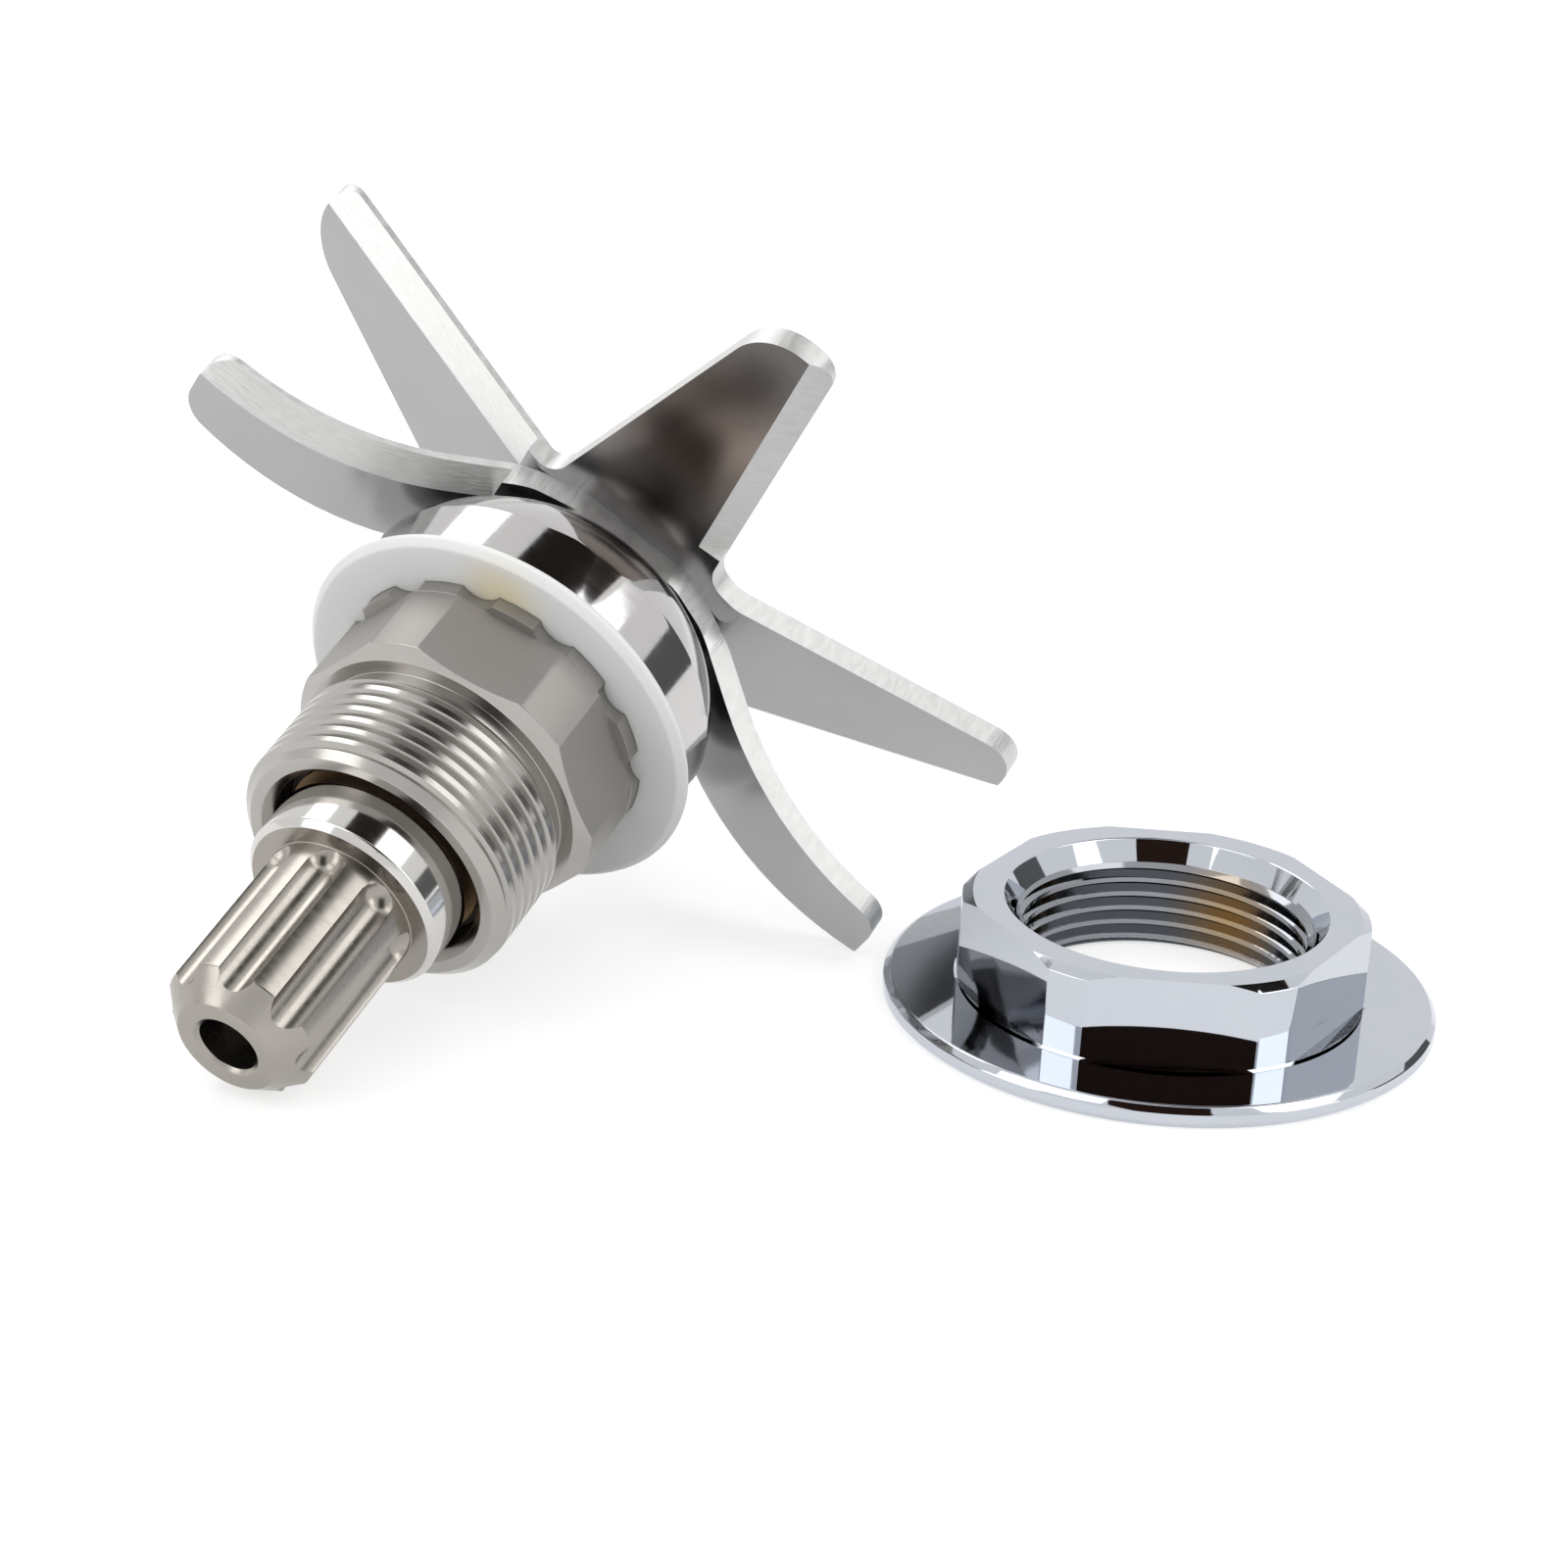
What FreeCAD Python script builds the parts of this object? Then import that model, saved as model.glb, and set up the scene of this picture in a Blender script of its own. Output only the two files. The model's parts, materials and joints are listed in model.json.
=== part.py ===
import FreeCAD, Part
import os
import re
from math import cos, degrees, radians, sin, sqrt

import Sketcher
from FreeCAD import Placement, Rotation, Vector

# Jug blender blade assembly, in millimetres.
# Every piece of the shaft's stack is drawn in the stack's own frame: Z runs along the shaft from the spline
# to the blades, with zero at the flange's underside, where the gasket seats. The last section lays the
# whole stack down on the table, where it rests on its spline and on the tips of two blades.

# Driving dimensions

SIZES = {
    # Housing, from its threaded end to its dome
    "thread_radius": 14.0,
    "thread_chamfer": 1.2,
    "neck_length": 24.4,
    "hex_bottom": 11.8,
    "relief_width": 1.3,
    "relief_radius": 12.9,
    "hex_across_flats": 29.6,
    "hex_turned_radius": 15.75,
    "hex_chamfer": 1.5,
    "hex_chamfer_height": 0.9,
    "collar_bottom": 3.2,
    "collar_radius": 15.85,
    "lobe_count": 12,
    "lobe_valley_radius": 14.8,
    "lobe_cutter_radius": 2.5,
    "hex_turn": 14.8,
    "flange_radius": 19.0,
    "flange_edge": 0.4,
    "rim_height": 5.8,
    "dome_curve_radius": 14.4,
    "crown_radius": 11.6,
    "crown_height": 15.0,
    "mouth_chamfer": 0.9,
    # Gasket
    "gasket_thickness": 1.8,
    "gasket_radius": 20.5,
    "gasket_edge": 0.7,
    "gasket_clearance": 0.05,
    # Bushings, their oil felt and the thrust washers
    "journal_radius": 4.0,
    "running_clearance": 0.05,
    "fit_clearance": 0.02,
    "bushing_radius": 8.0,
    "bushing_flange_radius": 9.9,
    "bushing_flange_thickness": 1.5,
    "bushing_length": 11.0,
    "mouth_radius": 10.75,
    "mouth_depth": 4.0,
    "felt_wall": 3.3,
    "thrust_washer_thickness": 0.8,
    "lower_washer_radius": 8.6,
    "upper_washer_radius": 6.0,
    # Seal
    "seal_floor": 6.0,
    "seal_radius": 10.0,
    "seal_height": 6.0,
    "seal_wall": 1.0,
    "seal_web": 1.2,
    "seal_hole_radius": 7.1,
    "seal_lip_rise": 3.6,
    "seal_lip_thickness": 1.1,
    "retaining_ring_thickness": 0.8,
    "retaining_ring_width": 2.0,
    # Shaft
    "shaft_below_flange": 48.8,
    "spline_length": 19.1,
    "spline_radius": 7.5,
    "spline_groove_floor": 6.3,
    "spline_groove_radius": 2.1,
    "spline_teeth": 8,
    "spline_turn": 26.5,
    "spline_chamfer": 2.5,
    "end_hole_radius": 2.95,
    "end_hole_depth": 12.0,
    "end_hole_edge": 0.4,
    "shaft_collar_radius": 9.9,
    "shaft_collar_edge": 0.6,
    "flats_across": 6.4,
    "shaft_end_chamfer": 0.8,
    # Thrust sleeve under the blades
    "sleeve_radius": 6.0,
    "thrust_disc_radius": 9.6,
    "thrust_disc_bottom": 13.2,
    "thrust_disc_edge": 0.5,
    "blade_seat": 17.05,
    # Blades
    "blade_thickness": 2.5,
    "flat_arm_reach": 42.2,
    "raised_arm_reach": 44.5,
    "arm_lead_root": 8.1,
    "arm_lead_tip": 5.2,
    "arm_trail_root": 9.9,
    "arm_trail_tip": 2.5,
    "arm_lead_corner": 2.8,
    "arm_trail_corner": 5.4,
    "arm_crotch_round": 2.6,
    "raised_bend_start": 10.8,
    "raised_bend_radius": 4.0,
    "raised_bend_angle": 22.9,
    "lower_arm_reach": 41.9,
    "lower_lead_root": 7.0,
    "lower_lead_tip": 6.0,
    "lower_trail_root": 5.9,
    "lower_trail_tip": 2.1,
    "lower_tip_round": 3.0,
    "lower_root_station": 12.0,
    "lower_hub_half_width": 9.0,
    "lower_hub_half_length": 6.0,
    "lower_hub_round": 4.0,
    "lower_neck_round": 6.0,
    "lower_bend_start": 9.7,
    "lower_bend_radius": 6.0,
    "lower_bend_angle": 37.3,
    "lower_slope_length": 5.7,
    "lower_return_radius": 33.5,
    "lower_return_angle": 46.0,
    "bevel_start": 13.2,
    "lower_bevel_start": 13.2,
    "bevel_root_width": 2.8,
    "bevel_tip_width": 2.6,
    "bevel_edge_left": 0.5,
    "blade_hole_clearance": 0.05,
    # Fasteners on the blades
    "washer_radius": 8.0,
    "washer_thickness": 1.5,
    "washer_edge": 0.3,
    "spring_washer_radius": 6.9,
    "spring_washer_thickness": 1.8,
    "spring_washer_slot": 1.0,
    "cap_nut_across_flats": 13.0,
    "cap_nut_hex_height": 6.5,
    "cap_nut_height": 10.0,
    "cap_nut_dome_radius": 6.2,
    "cap_nut_crown_radius": 2.4,
    "cap_nut_turned_radius": 7.4,
    "cap_nut_chamfer": 0.8,
    "cap_nut_chamfer_height": 0.5,
    "cap_nut_hole_depth": 8.0,
    "shaft_in_cap_nut": 7.0,
    # Retaining nut
    "nut_bore_clearance": 0.05,
    "nut_flange_radius": 26.5,
    "nut_flange_thickness": 2.2,
    "nut_flange_edge": 0.6,
    "nut_across_flats": 35.6,
    "nut_turned_radius": 19.5,
    "nut_height": 10.7,
    "nut_edge": 0.6,
    "nut_edge_width": 1.0,
    "nut_mouth_depth": 2.0,
    "nut_mouth_widening": 1.5,
    # Cutters that reach past what they cut
    "cutter_margin": 5.0,
    "bevel_cutter_length": 20.0,
    "bevel_cutter_depth": 8.0,
    # Places on the table
    "heading": 62.4,
    "nut_aside": 85.2,
    "nut_behind": 31.9,
    "nut_turn": -2.8,
}

# Stations along the shaft and other sizes that follow from the driving dimensions

DERIVED = {
    "mouth_floor": "mouth_depth - neck_length",
    "lower_flange_bottom": "mouth_floor - bushing_flange_thickness",
    "lower_bushing_top": "mouth_floor + bushing_length",
    "upper_flange_seat": "seal_floor - bushing_flange_thickness",
    "upper_bushing_bottom": "upper_flange_seat - bushing_length",
    "upper_washer_top": "seal_floor + thrust_washer_thickness",
    "sleeve_bottom": "upper_washer_top + running_clearance + thrust_washer_thickness",
    "spline_end": "0 - shaft_below_flange",
    "collar_start": "spline_end + spline_length",
    "collar_end": "lower_flange_bottom - 2 * thrust_washer_thickness - running_clearance",
    "cross_blade_bottom": "blade_seat + blade_thickness",
    "cross_blade_top": "cross_blade_bottom + blade_thickness",
    "washer_top": "cross_blade_top + washer_thickness",
    "spring_washer_top": "washer_top + spring_washer_thickness",
    "shaft_top": "spring_washer_top + shaft_in_cap_nut",
    "clear_journal": "journal_radius + fit_clearance",
    "lobe_cutter_place": "lobe_valley_radius + lobe_cutter_radius",
    "groove_centre_radius": "spline_groove_floor + spline_groove_radius",
    "nut_bore_radius": "thread_radius + nut_bore_clearance",
}

# The document and its sheet

doc = FreeCAD.newDocument("BladeAssembly")
sheet = doc.addObject("Spreadsheet::Sheet", "Sizes")
for row, (name, number) in enumerate(SIZES.items(), start=1):
    sheet.set(f"A{row}", name)
    sheet.set(f"B{row}", str(number))
    sheet.setAlias(f"B{row}", name)
doc.recompute()


def formula(text):
    """The expression with derived sizes written out and driving sizes read from the sheet."""
    def expand(match):
        word = match.group()
        if word in DERIVED:
            return f"({formula(DERIVED[word])})"
        return f"Sizes.{word}" if word in SIZES else word
    return re.sub(r"[a-z]\w*", expand, str(text))


def size(text):
    """The number that an expression of sizes gives."""
    return float(sheet.evalExpression(formula(text)))


# Sketches

def new_body(label):
    body = doc.addObject("PartDesign::Body", label)
    body.Label = label
    return body


def new_sketch(body, name, role, lift="0"):
    """An empty sketch on an origin plane of the body, lifted along that plane's normal."""
    sketch = body.newObject("Sketcher::SketchObject", name)
    plane = next(f for f in body.Origin.OriginFeatures if f.Role == role)
    sketch.AttachmentSupport = [(plane, "")]
    sketch.MapMode = "FlatFace"
    if lift != "0":
        sketch.setExpression("AttachmentOffset.Base.z", formula(lift))
    return sketch


def bind(sketch, constraint, text):
    number = sketch.addConstraint(constraint)
    sketch.setExpression(f"Constraints[{number}]", formula(text))


def arc_between(start, end, radius):
    """The short arc from start to end; a positive radius keeps its centre on the left of the way."""
    chord = end - start
    left = Vector(-chord.y, chord.x, 0).normalize()
    sagitta = abs(radius) - sqrt(radius**2 - chord.Length**2 / 4)
    side = -1 if radius > 0 else 1
    return Part.Arc(start, start + chord * 0.5 + left * (sagitta * side), end)


def add_outline(sketch, points):
    """Closes a line through points (x, y) bound to the sheet; (x, y, radius) starts an arc."""
    places = [Vector(size(p[0]), size(p[1]), 0) for p in points]
    base, count = sketch.GeometryCount, len(points)
    for index, point in enumerate(points):
        start, end = places[index], places[(index + 1) % count]
        if len(point) == 2:
            sketch.addGeometry(Part.LineSegment(start, end))
        else:
            sketch.addGeometry(arc_between(start, end, size(point[2])))
    first = [1 if (sketch.getPoint(base + i, 1) - places[i]).Length < 1e-6 else 2 for i in range(count)]
    for index, point in enumerate(points):
        at, after = base + index, (index + 1) % count
        last = 3 - first[index]
        sketch.addConstraint(Sketcher.Constraint("Coincident", at, last, base + after, first[after]))
        for kind, text in (("DistanceX", point[0]), ("DistanceY", point[1])):
            bind(sketch, Sketcher.Constraint(kind, -1, 1, at, first[index], size(text)), text)
        if len(point) == 3:
            length = f"abs({point[2]})"
            bind(sketch, Sketcher.Constraint("Radius", at, size(length)), length)


def outline(body, name, points, role="XZ_Plane", lift="0"):
    sketch = new_sketch(body, name, role, lift)
    add_outline(sketch, points)
    return sketch


def ring_sketch(body, name, radii, lift, centre="0"):
    """Circles about one centre on the X axis, at a height along the shaft."""
    sketch = new_sketch(body, name, "XY_Plane", lift)
    for index, radius in enumerate(radii):
        sketch.addGeometry(Part.Circle(Vector(size(centre), 0, 0), Vector(0, 0, 1), size(radius)))
        bind(sketch, Sketcher.Constraint("Radius", index, size(radius)), radius)
        if centre == "0":
            sketch.addConstraint(Sketcher.Constraint("Coincident", index, 3, -1, 1))
        else:
            bind(sketch, Sketcher.Constraint("DistanceX", -1, 1, index, 3, size(centre)), centre)
            sketch.addConstraint(Sketcher.Constraint("PointOnObject", index, 3, -1))
    return sketch


def hexagon(sketch, across_flats, turn="0"):
    """Adds a hexagon about the origin, with a flat facing the turn angle."""
    reach = f"{across_flats} / 2 / cos(30)"
    angles = [f"{turn} + {30 + 60 * index}" for index in range(6)]
    add_outline(sketch, [(f"{reach} * cos({angle})", f"{reach} * sin({angle})") for angle in angles])


# Features

def revolved(body, name, points):
    """The outline of (radius, station) points turned about the shaft's axis."""
    feature = body.newObject("PartDesign::Revolution", name)
    sketch = outline(body, f"{name}_outline", points)
    feature.Profile = sketch
    feature.ReferenceAxis = (sketch, ["V_Axis"])
    feature.Angle = 360
    body.Tip = feature
    doc.recompute()
    return feature


def extruded(body, name, sketch, length, kind="Pad", **options):
    """A pad, or a pocket that cuts along the sketch's normal, of a bound length."""
    before = body.Shape.Volume if kind == "Pocket" else 0
    feature = body.newObject(f"PartDesign::{kind}", name)
    feature.Profile = sketch
    feature.Reversed = kind == "Pocket"
    for option, value in options.items():
        setattr(feature, option, value)
    feature.setExpression("Length", formula(length))
    body.Tip = feature
    doc.recompute()
    if kind == "Pocket" and body.Shape.Volume > before - 0.01:
        raise ValueError(f"{name} cuts nothing")
    return feature


def patterned(body, features, name, count):
    """Features repeated all the way round the shaft's axis."""
    pattern = body.newObject("PartDesign::PolarPattern", name)
    pattern.Originals = features
    pattern.Axis = (next(f for f in body.Origin.OriginFeatures if f.Role == "Z_Axis"), [""])
    pattern.Angle = 360
    pattern.setExpression("Occurrences", formula(count))
    body.Tip = pattern
    doc.recompute()
    return pattern


def trim_to_hexagon(body, name, across_flats, turned_radius, bottom, height, turn="0"):
    """Cuts six flats into a turned blank, from bottom up to height."""
    sketch = ring_sketch(body, f"{name}_outline", [f"{turned_radius} + cutter_margin"], bottom)
    hexagon(sketch, across_flats, turn)
    extruded(body, name, sketch, height, "Pocket")


# Housing: one turned piece with the thread's neck, the hexagon, the lobed collar, the flange and the dome

def make_housing():
    body = new_body("bearing_housing")
    revolved(body, "housing_blank", [
        ("mouth_radius + mouth_chamfer", "0 - neck_length"),
        ("thread_radius - thread_chamfer", "0 - neck_length"),
        ("thread_radius", "thread_chamfer - neck_length"),
        ("thread_radius", "relief_radius - thread_radius - hex_bottom - relief_width"),
        ("relief_radius", "0 - hex_bottom - relief_width"),
        ("relief_radius", "0 - hex_bottom"),
        ("hex_turned_radius - hex_chamfer", "0 - hex_bottom"),
        ("hex_turned_radius", "hex_chamfer_height - hex_bottom"),
        ("hex_turned_radius", "0 - collar_bottom"),
        ("collar_radius", "0 - collar_bottom"),
        ("collar_radius", "0"),
        ("flange_radius - flange_edge", "0"),
        ("flange_radius", "flange_edge"),
        ("flange_radius", "rim_height", "dome_curve_radius"),
        ("crown_radius", "crown_height"),
        ("seal_radius", "crown_height"),
        ("seal_radius", "upper_flange_seat"),
        ("bushing_radius", "upper_flange_seat"),
        ("bushing_radius", "mouth_floor"),
        ("mouth_radius", "mouth_floor"),
        ("mouth_radius", "mouth_chamfer - neck_length"),
    ])
    trim_to_hexagon(body, "hexagon_flats", "hex_across_flats", "hex_turned_radius",
                    "0 - hex_bottom", "hex_bottom - collar_bottom", "hex_turn")
    scallop = ring_sketch(body, "collar_scallop_outline", ["lobe_cutter_radius"], "0 - collar_bottom",
                          "lobe_cutter_place")
    cut = extruded(body, "collar_scallop", scallop, "collar_bottom", "Pocket")
    patterned(body, [cut], "collar_scallops", "lobe_count")
    return body


def make_gasket():
    """A flat ring with eased edges, whose hole follows the lobed collar."""
    body = new_body("jar_gasket")
    hole = "collar_radius + gasket_clearance"
    revolved(body, "gasket_ring", [
        (hole, "0 - gasket_thickness"),
        ("gasket_radius - gasket_edge", "0 - gasket_thickness"),
        ("gasket_radius", "gasket_edge - gasket_thickness"),
        ("gasket_radius", "0 - gasket_edge"),
        ("gasket_radius - gasket_edge", "0"),
        (hole, "0"),
    ])
    bump = ring_sketch(body, "gasket_tooth_outline", ["lobe_cutter_radius - gasket_clearance"],
                       "0 - gasket_thickness", "lobe_cutter_place")
    tooth = extruded(body, "gasket_tooth", bump, "gasket_thickness")
    patterned(body, [tooth], "gasket_teeth", "lobe_count")
    return body


# Bushings, thrust washers and seal

def make_turned(label, points):
    body = new_body(label)
    revolved(body, f"{label}_section", points)
    return body


def make_ring(label, inner, outer, bottom, top):
    return make_turned(label, [(inner, bottom), (outer, bottom), (outer, top), (inner, top)])


def make_bushing(label, flange_end, flange_seat, barrel_end):
    """A sintered bushing whose flange lies against its seat in the housing."""
    bore = "journal_radius + running_clearance"
    return make_turned(label, [
        (bore, flange_end),
        ("bushing_flange_radius", flange_end),
        ("bushing_flange_radius", flange_seat),
        ("bushing_radius - fit_clearance", flange_seat),
        ("bushing_radius - fit_clearance", barrel_end),
        (bore, barrel_end),
    ])


def make_lip_seal():
    """A cup with an outer wall, a web and a lip that leans in to the sleeve."""
    web_top = "seal_floor + seal_web"
    lip_tip = "sleeve_radius + running_clearance"
    lip_top = f"{web_top} + seal_lip_rise"
    return make_turned("lip_seal", [
        ("seal_hole_radius", "seal_floor"),
        ("seal_radius - fit_clearance", "seal_floor"),
        ("seal_radius - fit_clearance", "seal_floor + seal_height"),
        ("seal_radius - seal_wall", "seal_floor + seal_height"),
        ("seal_radius - seal_wall", web_top),
        ("seal_hole_radius + seal_lip_thickness", web_top),
        (f"{lip_tip} + seal_lip_thickness", lip_top),
        (lip_tip, lip_top),
    ])


# Shaft: the spline, the polished collar, the journals, the blade seat and the threaded end

def flats_outline(sketch, radius, across):
    """Adds a double-D: two arcs of a circle joined by two flats along the X direction."""
    half = size(across) / 2
    reach = size(radius)
    side = sqrt(reach**2 - half**2)
    sketch.addGeometry(Part.Arc(Vector(side, -half, 0), Vector(reach, 0, 0), Vector(side, half, 0)))
    sketch.addGeometry(Part.LineSegment(Vector(side, half, 0), Vector(-side, half, 0)))
    sketch.addGeometry(Part.Arc(Vector(-side, half, 0), Vector(-reach, 0, 0), Vector(-side, -half, 0)))
    sketch.addGeometry(Part.LineSegment(Vector(-side, -half, 0), Vector(side, -half, 0)))
    for index in range(4):
        at = sketch.GeometryCount - 4 + index
        sketch.addConstraint(Sketcher.Constraint("Block", at))


def make_shaft():
    body = new_body("drive_shaft")
    revolved(body, "shaft_blank", [
        ("0", "spline_end + end_hole_depth"),
        ("end_hole_radius", "spline_end + end_hole_depth - end_hole_radius / 2"),
        ("end_hole_radius", "spline_end + end_hole_edge"),
        ("end_hole_radius + end_hole_edge", "spline_end"),
        ("spline_radius - spline_chamfer", "spline_end"),
        ("spline_radius", "spline_end + spline_chamfer"),
        ("spline_radius", "collar_start"),
        ("shaft_collar_radius - shaft_collar_edge", "collar_start"),
        ("shaft_collar_radius", "collar_start + shaft_collar_edge"),
        ("shaft_collar_radius", "collar_end - shaft_collar_edge"),
        ("shaft_collar_radius - shaft_collar_edge", "collar_end"),
        ("journal_radius", "collar_end"),
        ("journal_radius", "shaft_top - shaft_end_chamfer"),
        ("journal_radius - shaft_end_chamfer", "shaft_top"),
        ("0", "shaft_top"),
    ])
    groove = body.newObject("PartDesign::Groove", "spline_groove")
    sketch = outline(body, "spline_groove_outline", [
        ("groove_centre_radius", "spline_end - cutter_margin"),
        ("groove_centre_radius + spline_groove_radius", "spline_end - cutter_margin"),
        ("groove_centre_radius + spline_groove_radius", "collar_start - spline_groove_radius",
         "spline_groove_radius"),
        ("groove_centre_radius", "collar_start"),
    ])
    sketch.AttachmentOffset = Placement(Vector(0, 0, 0), Rotation(Vector(0, 1, 0), size("spline_turn")))
    sketch.setExpression("AttachmentOffset.Rotation.Angle", formula("spline_turn"))
    groove.Profile = sketch
    groove.ReferenceAxis = (sketch, ["Edge4"])
    groove.Angle = 360
    body.Tip = groove
    doc.recompute()
    patterned(body, [groove], "spline_grooves", "spline_teeth")
    flats = ring_sketch(body, "blade_seat_outline", ["journal_radius + 2 * cutter_margin"], "blade_seat")
    flats_outline(flats, "journal_radius + cutter_margin", "flats_across")
    extruded(body, "blade_seat_flats", flats, "shaft_top - blade_seat", "Pocket")
    return body


def make_thrust_sleeve():
    """The seal runs on its stem, and the blades rest on its disc."""
    return make_turned("thrust_sleeve", [
        ("clear_journal", "sleeve_bottom"),
        ("sleeve_radius", "sleeve_bottom"),
        ("sleeve_radius", "thrust_disc_bottom"),
        ("thrust_disc_radius", "thrust_disc_bottom"),
        ("thrust_disc_radius", "blade_seat - thrust_disc_edge"),
        ("thrust_disc_radius - thrust_disc_edge", "blade_seat"),
        ("clear_journal", "blade_seat"),
    ])


# Blades

def walk(start, pieces, side):
    """A bent sheet's side line, set off from a path of ("line", length) and ("bend", radius, angle).

    Each stretch is a list of two points for a line and of three for an arc.
    """
    here, heading, stretches = start, 0.0, []
    for piece in pieces:
        left = Vector(-sin(heading), cos(heading), 0)
        if piece[0] == "line":
            there = here + Vector(cos(heading), sin(heading), 0) * piece[1]
            stretches.append([here + left * side, there + left * side])
        else:
            angle = radians(piece[2])
            radius = piece[1] if angle > 0 else -piece[1]
            centre = here + left * radius
            turns = (heading, heading + angle / 2, heading + angle)
            normals = [Vector(-sin(turn), cos(turn), 0) for turn in turns]
            stretches.append([centre - normal * (radius - side) for normal in normals])
            there = centre - normals[2] * radius
            heading += angle
        here = there
    return stretches


def rounded(corners):
    """Lines and tangent arcs through corners (x, y, radius), in order and closed."""
    stretches, count = [], len(corners)
    arcs = []
    for index, (x, y, radius) in enumerate(corners):
        at = Vector(x, y, 0)
        back = (Vector(*corners[index - 1][:2], 0) - at).normalize()
        forth = (Vector(*corners[(index + 1) % count][:2], 0) - at).normalize()
        half = back.getAngle(forth) / 2
        reach = radius * cos(half) / sin(half)
        inward = (back + forth).normalize()
        arcs.append([at + back * reach, at + inward * (radius / sin(half) - radius), at + forth * reach])
    for index, arc in enumerate(arcs):
        stretches += [arc, [arc[2], arcs[(index + 1) % count][0]]]
    return stretches


def draw(sketch, stretches):
    """Adds lines and arcs to the sketch and fixes them where they are."""
    for points in stretches:
        curve = Part.LineSegment(*points) if len(points) == 2 else Part.Arc(*points)
        sketch.addConstraint(Sketcher.Constraint("Block", sketch.addGeometry(curve)))


def bent_strip(body, name, pieces, bottom):
    """The blade's sheet, bent alike on both sides of the shaft and as wide as the blade reaches."""
    half = size("blade_thickness") / 2
    start = Vector(0, size(bottom) + half, 0)
    top, under = walk(start, pieces, half), walk(start, pieces, -half)
    right = top + under + [[top[-1][-1], under[-1][-1]]]
    left = [[Vector(-point.x, point.y, 0) for point in points] for points in right]
    sketch = new_sketch(body, f"{name}_side", "XZ_Plane")
    draw(sketch, right + left)
    return extruded(body, f"{name}_sheet", sketch, "flat_arm_reach * 2 + 2 * cutter_margin", Midplane=True)


def punch(body, name, corners, bottom):
    """Trims the sheet to its outline and punches the hole for the shaft's flats."""
    sketch = ring_sketch(body, f"{name}_outline", ["flat_arm_reach * 2"], f"{bottom} - flat_arm_reach")
    draw(sketch, rounded(corners))
    extruded(body, f"{name}_trim", sketch, "flat_arm_reach * 2", "Pocket")
    hole = new_sketch(body, f"{name}_hole_outline", "XY_Plane", bottom)
    flats_outline(hole, "journal_radius + blade_hole_clearance", "flats_across + 2 * blade_hole_clearance")
    extruded(body, f"{name}_hole", hole, "blade_thickness", "Pocket")


def beyond(stretches, start):
    """The part of a side line past a station that lies on one of its straight stretches."""
    kept = [points for points in stretches if points[-1].x > start]
    first, last = kept[0]
    share = (start - first.x) / (last.x - first.x)
    return [[first + (last - first) * share, last]] + kept[1:]


def grind(body, name, pieces, bottom, start, lead_root, lead_tip, reach, turn=0):
    """Grinds the underside of a leading edge to a slope that follows the blade's own bends.

    The cutter is the space under the blade, moved sideways and up from the slope's inner line.
    """
    run = reach - start
    inner_root = lead_root - size("bevel_root_width")
    inner_tip = lead_tip - size("bevel_tip_width")
    slant = -(inner_tip - inner_root) / run
    angle = degrees(slant)
    rise = (size("blade_thickness") - size("bevel_edge_left")) / size("bevel_tip_width")
    sketch = new_sketch(body, f"{name}_side", "XZ_Plane")
    axis_start = Vector(0, size(bottom) + size("blade_thickness") / 2, 0)
    under = beyond(walk(axis_start, pieces, -size("blade_thickness") / 2), start)
    last = under[-1][-1]
    floor = min(under[0][0].y, last.y) - size("bevel_cutter_depth")
    corners = [last, Vector(last.x, floor, 0), Vector(start, floor, 0), under[0][0]]
    draw(sketch, under + [[corners[i], corners[i + 1]] for i in range(3)])
    inner = inner_root + slant * start
    rotation = Rotation(Vector(0, 0, 1), turn) * Rotation(Vector(0, 0, 1), -angle)
    place = Rotation(Vector(0, 0, 1), turn).multVec(Vector(0, inner, 0))
    plane = Rotation(Vector(1, 0, 0), 90)
    offset = plane.inverted() * rotation * plane
    sketch.AttachmentOffset = Placement(plane.inverted().multVec(place), offset)
    along = rotation.multVec(Vector(0, 1, rise))
    skew = {"UseCustomVector": True, "Direction": along, "Reversed": False}
    extruded(body, name, sketch, "bevel_cutter_length", "Pocket", **skew)


def make_cross_blade():
    """Four arms from one sheet: two raised along X and two flat along Y, each leading anticlockwise."""
    body = new_body("cross_blade")
    bottom = "cross_blade_bottom"
    pieces = [("line", size("raised_bend_start")),
              ("bend", size("raised_bend_radius"), size("raised_bend_angle")),
              ("line", size("raised_arm_reach"))]
    bent_strip(body, "cross_blade", pieces, bottom)
    corners = []
    for index in range(4):
        reach = size("flat_arm_reach" if index % 2 else "raised_arm_reach")
        arm = [(reach, -size("arm_trail_tip"), size("arm_trail_corner")),
               (reach, size("arm_lead_tip"), size("arm_lead_corner")),
               (size("arm_trail_root"), size("arm_lead_root"), size("arm_crotch_round"))]
        for x, y, radius in arm:
            at = Rotation(Vector(0, 0, 1), 90 * index).multVec(Vector(x, y, 0))
            corners.append((at.x, at.y, radius))
    punch(body, "cross_blade", corners, bottom)
    leads = size("bevel_start"), size("arm_lead_root"), size("arm_lead_tip")
    flat = [("line", size("flat_arm_reach + cutter_margin"))]
    for index in range(4):
        arm_pieces = flat if index % 2 else pieces
        reach = size("flat_arm_reach" if index % 2 else "raised_arm_reach")
        grind(body, f"cross_blade_bevel_{index + 1}", arm_pieces, bottom, *leads, reach, 90 * index)
    return body


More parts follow.
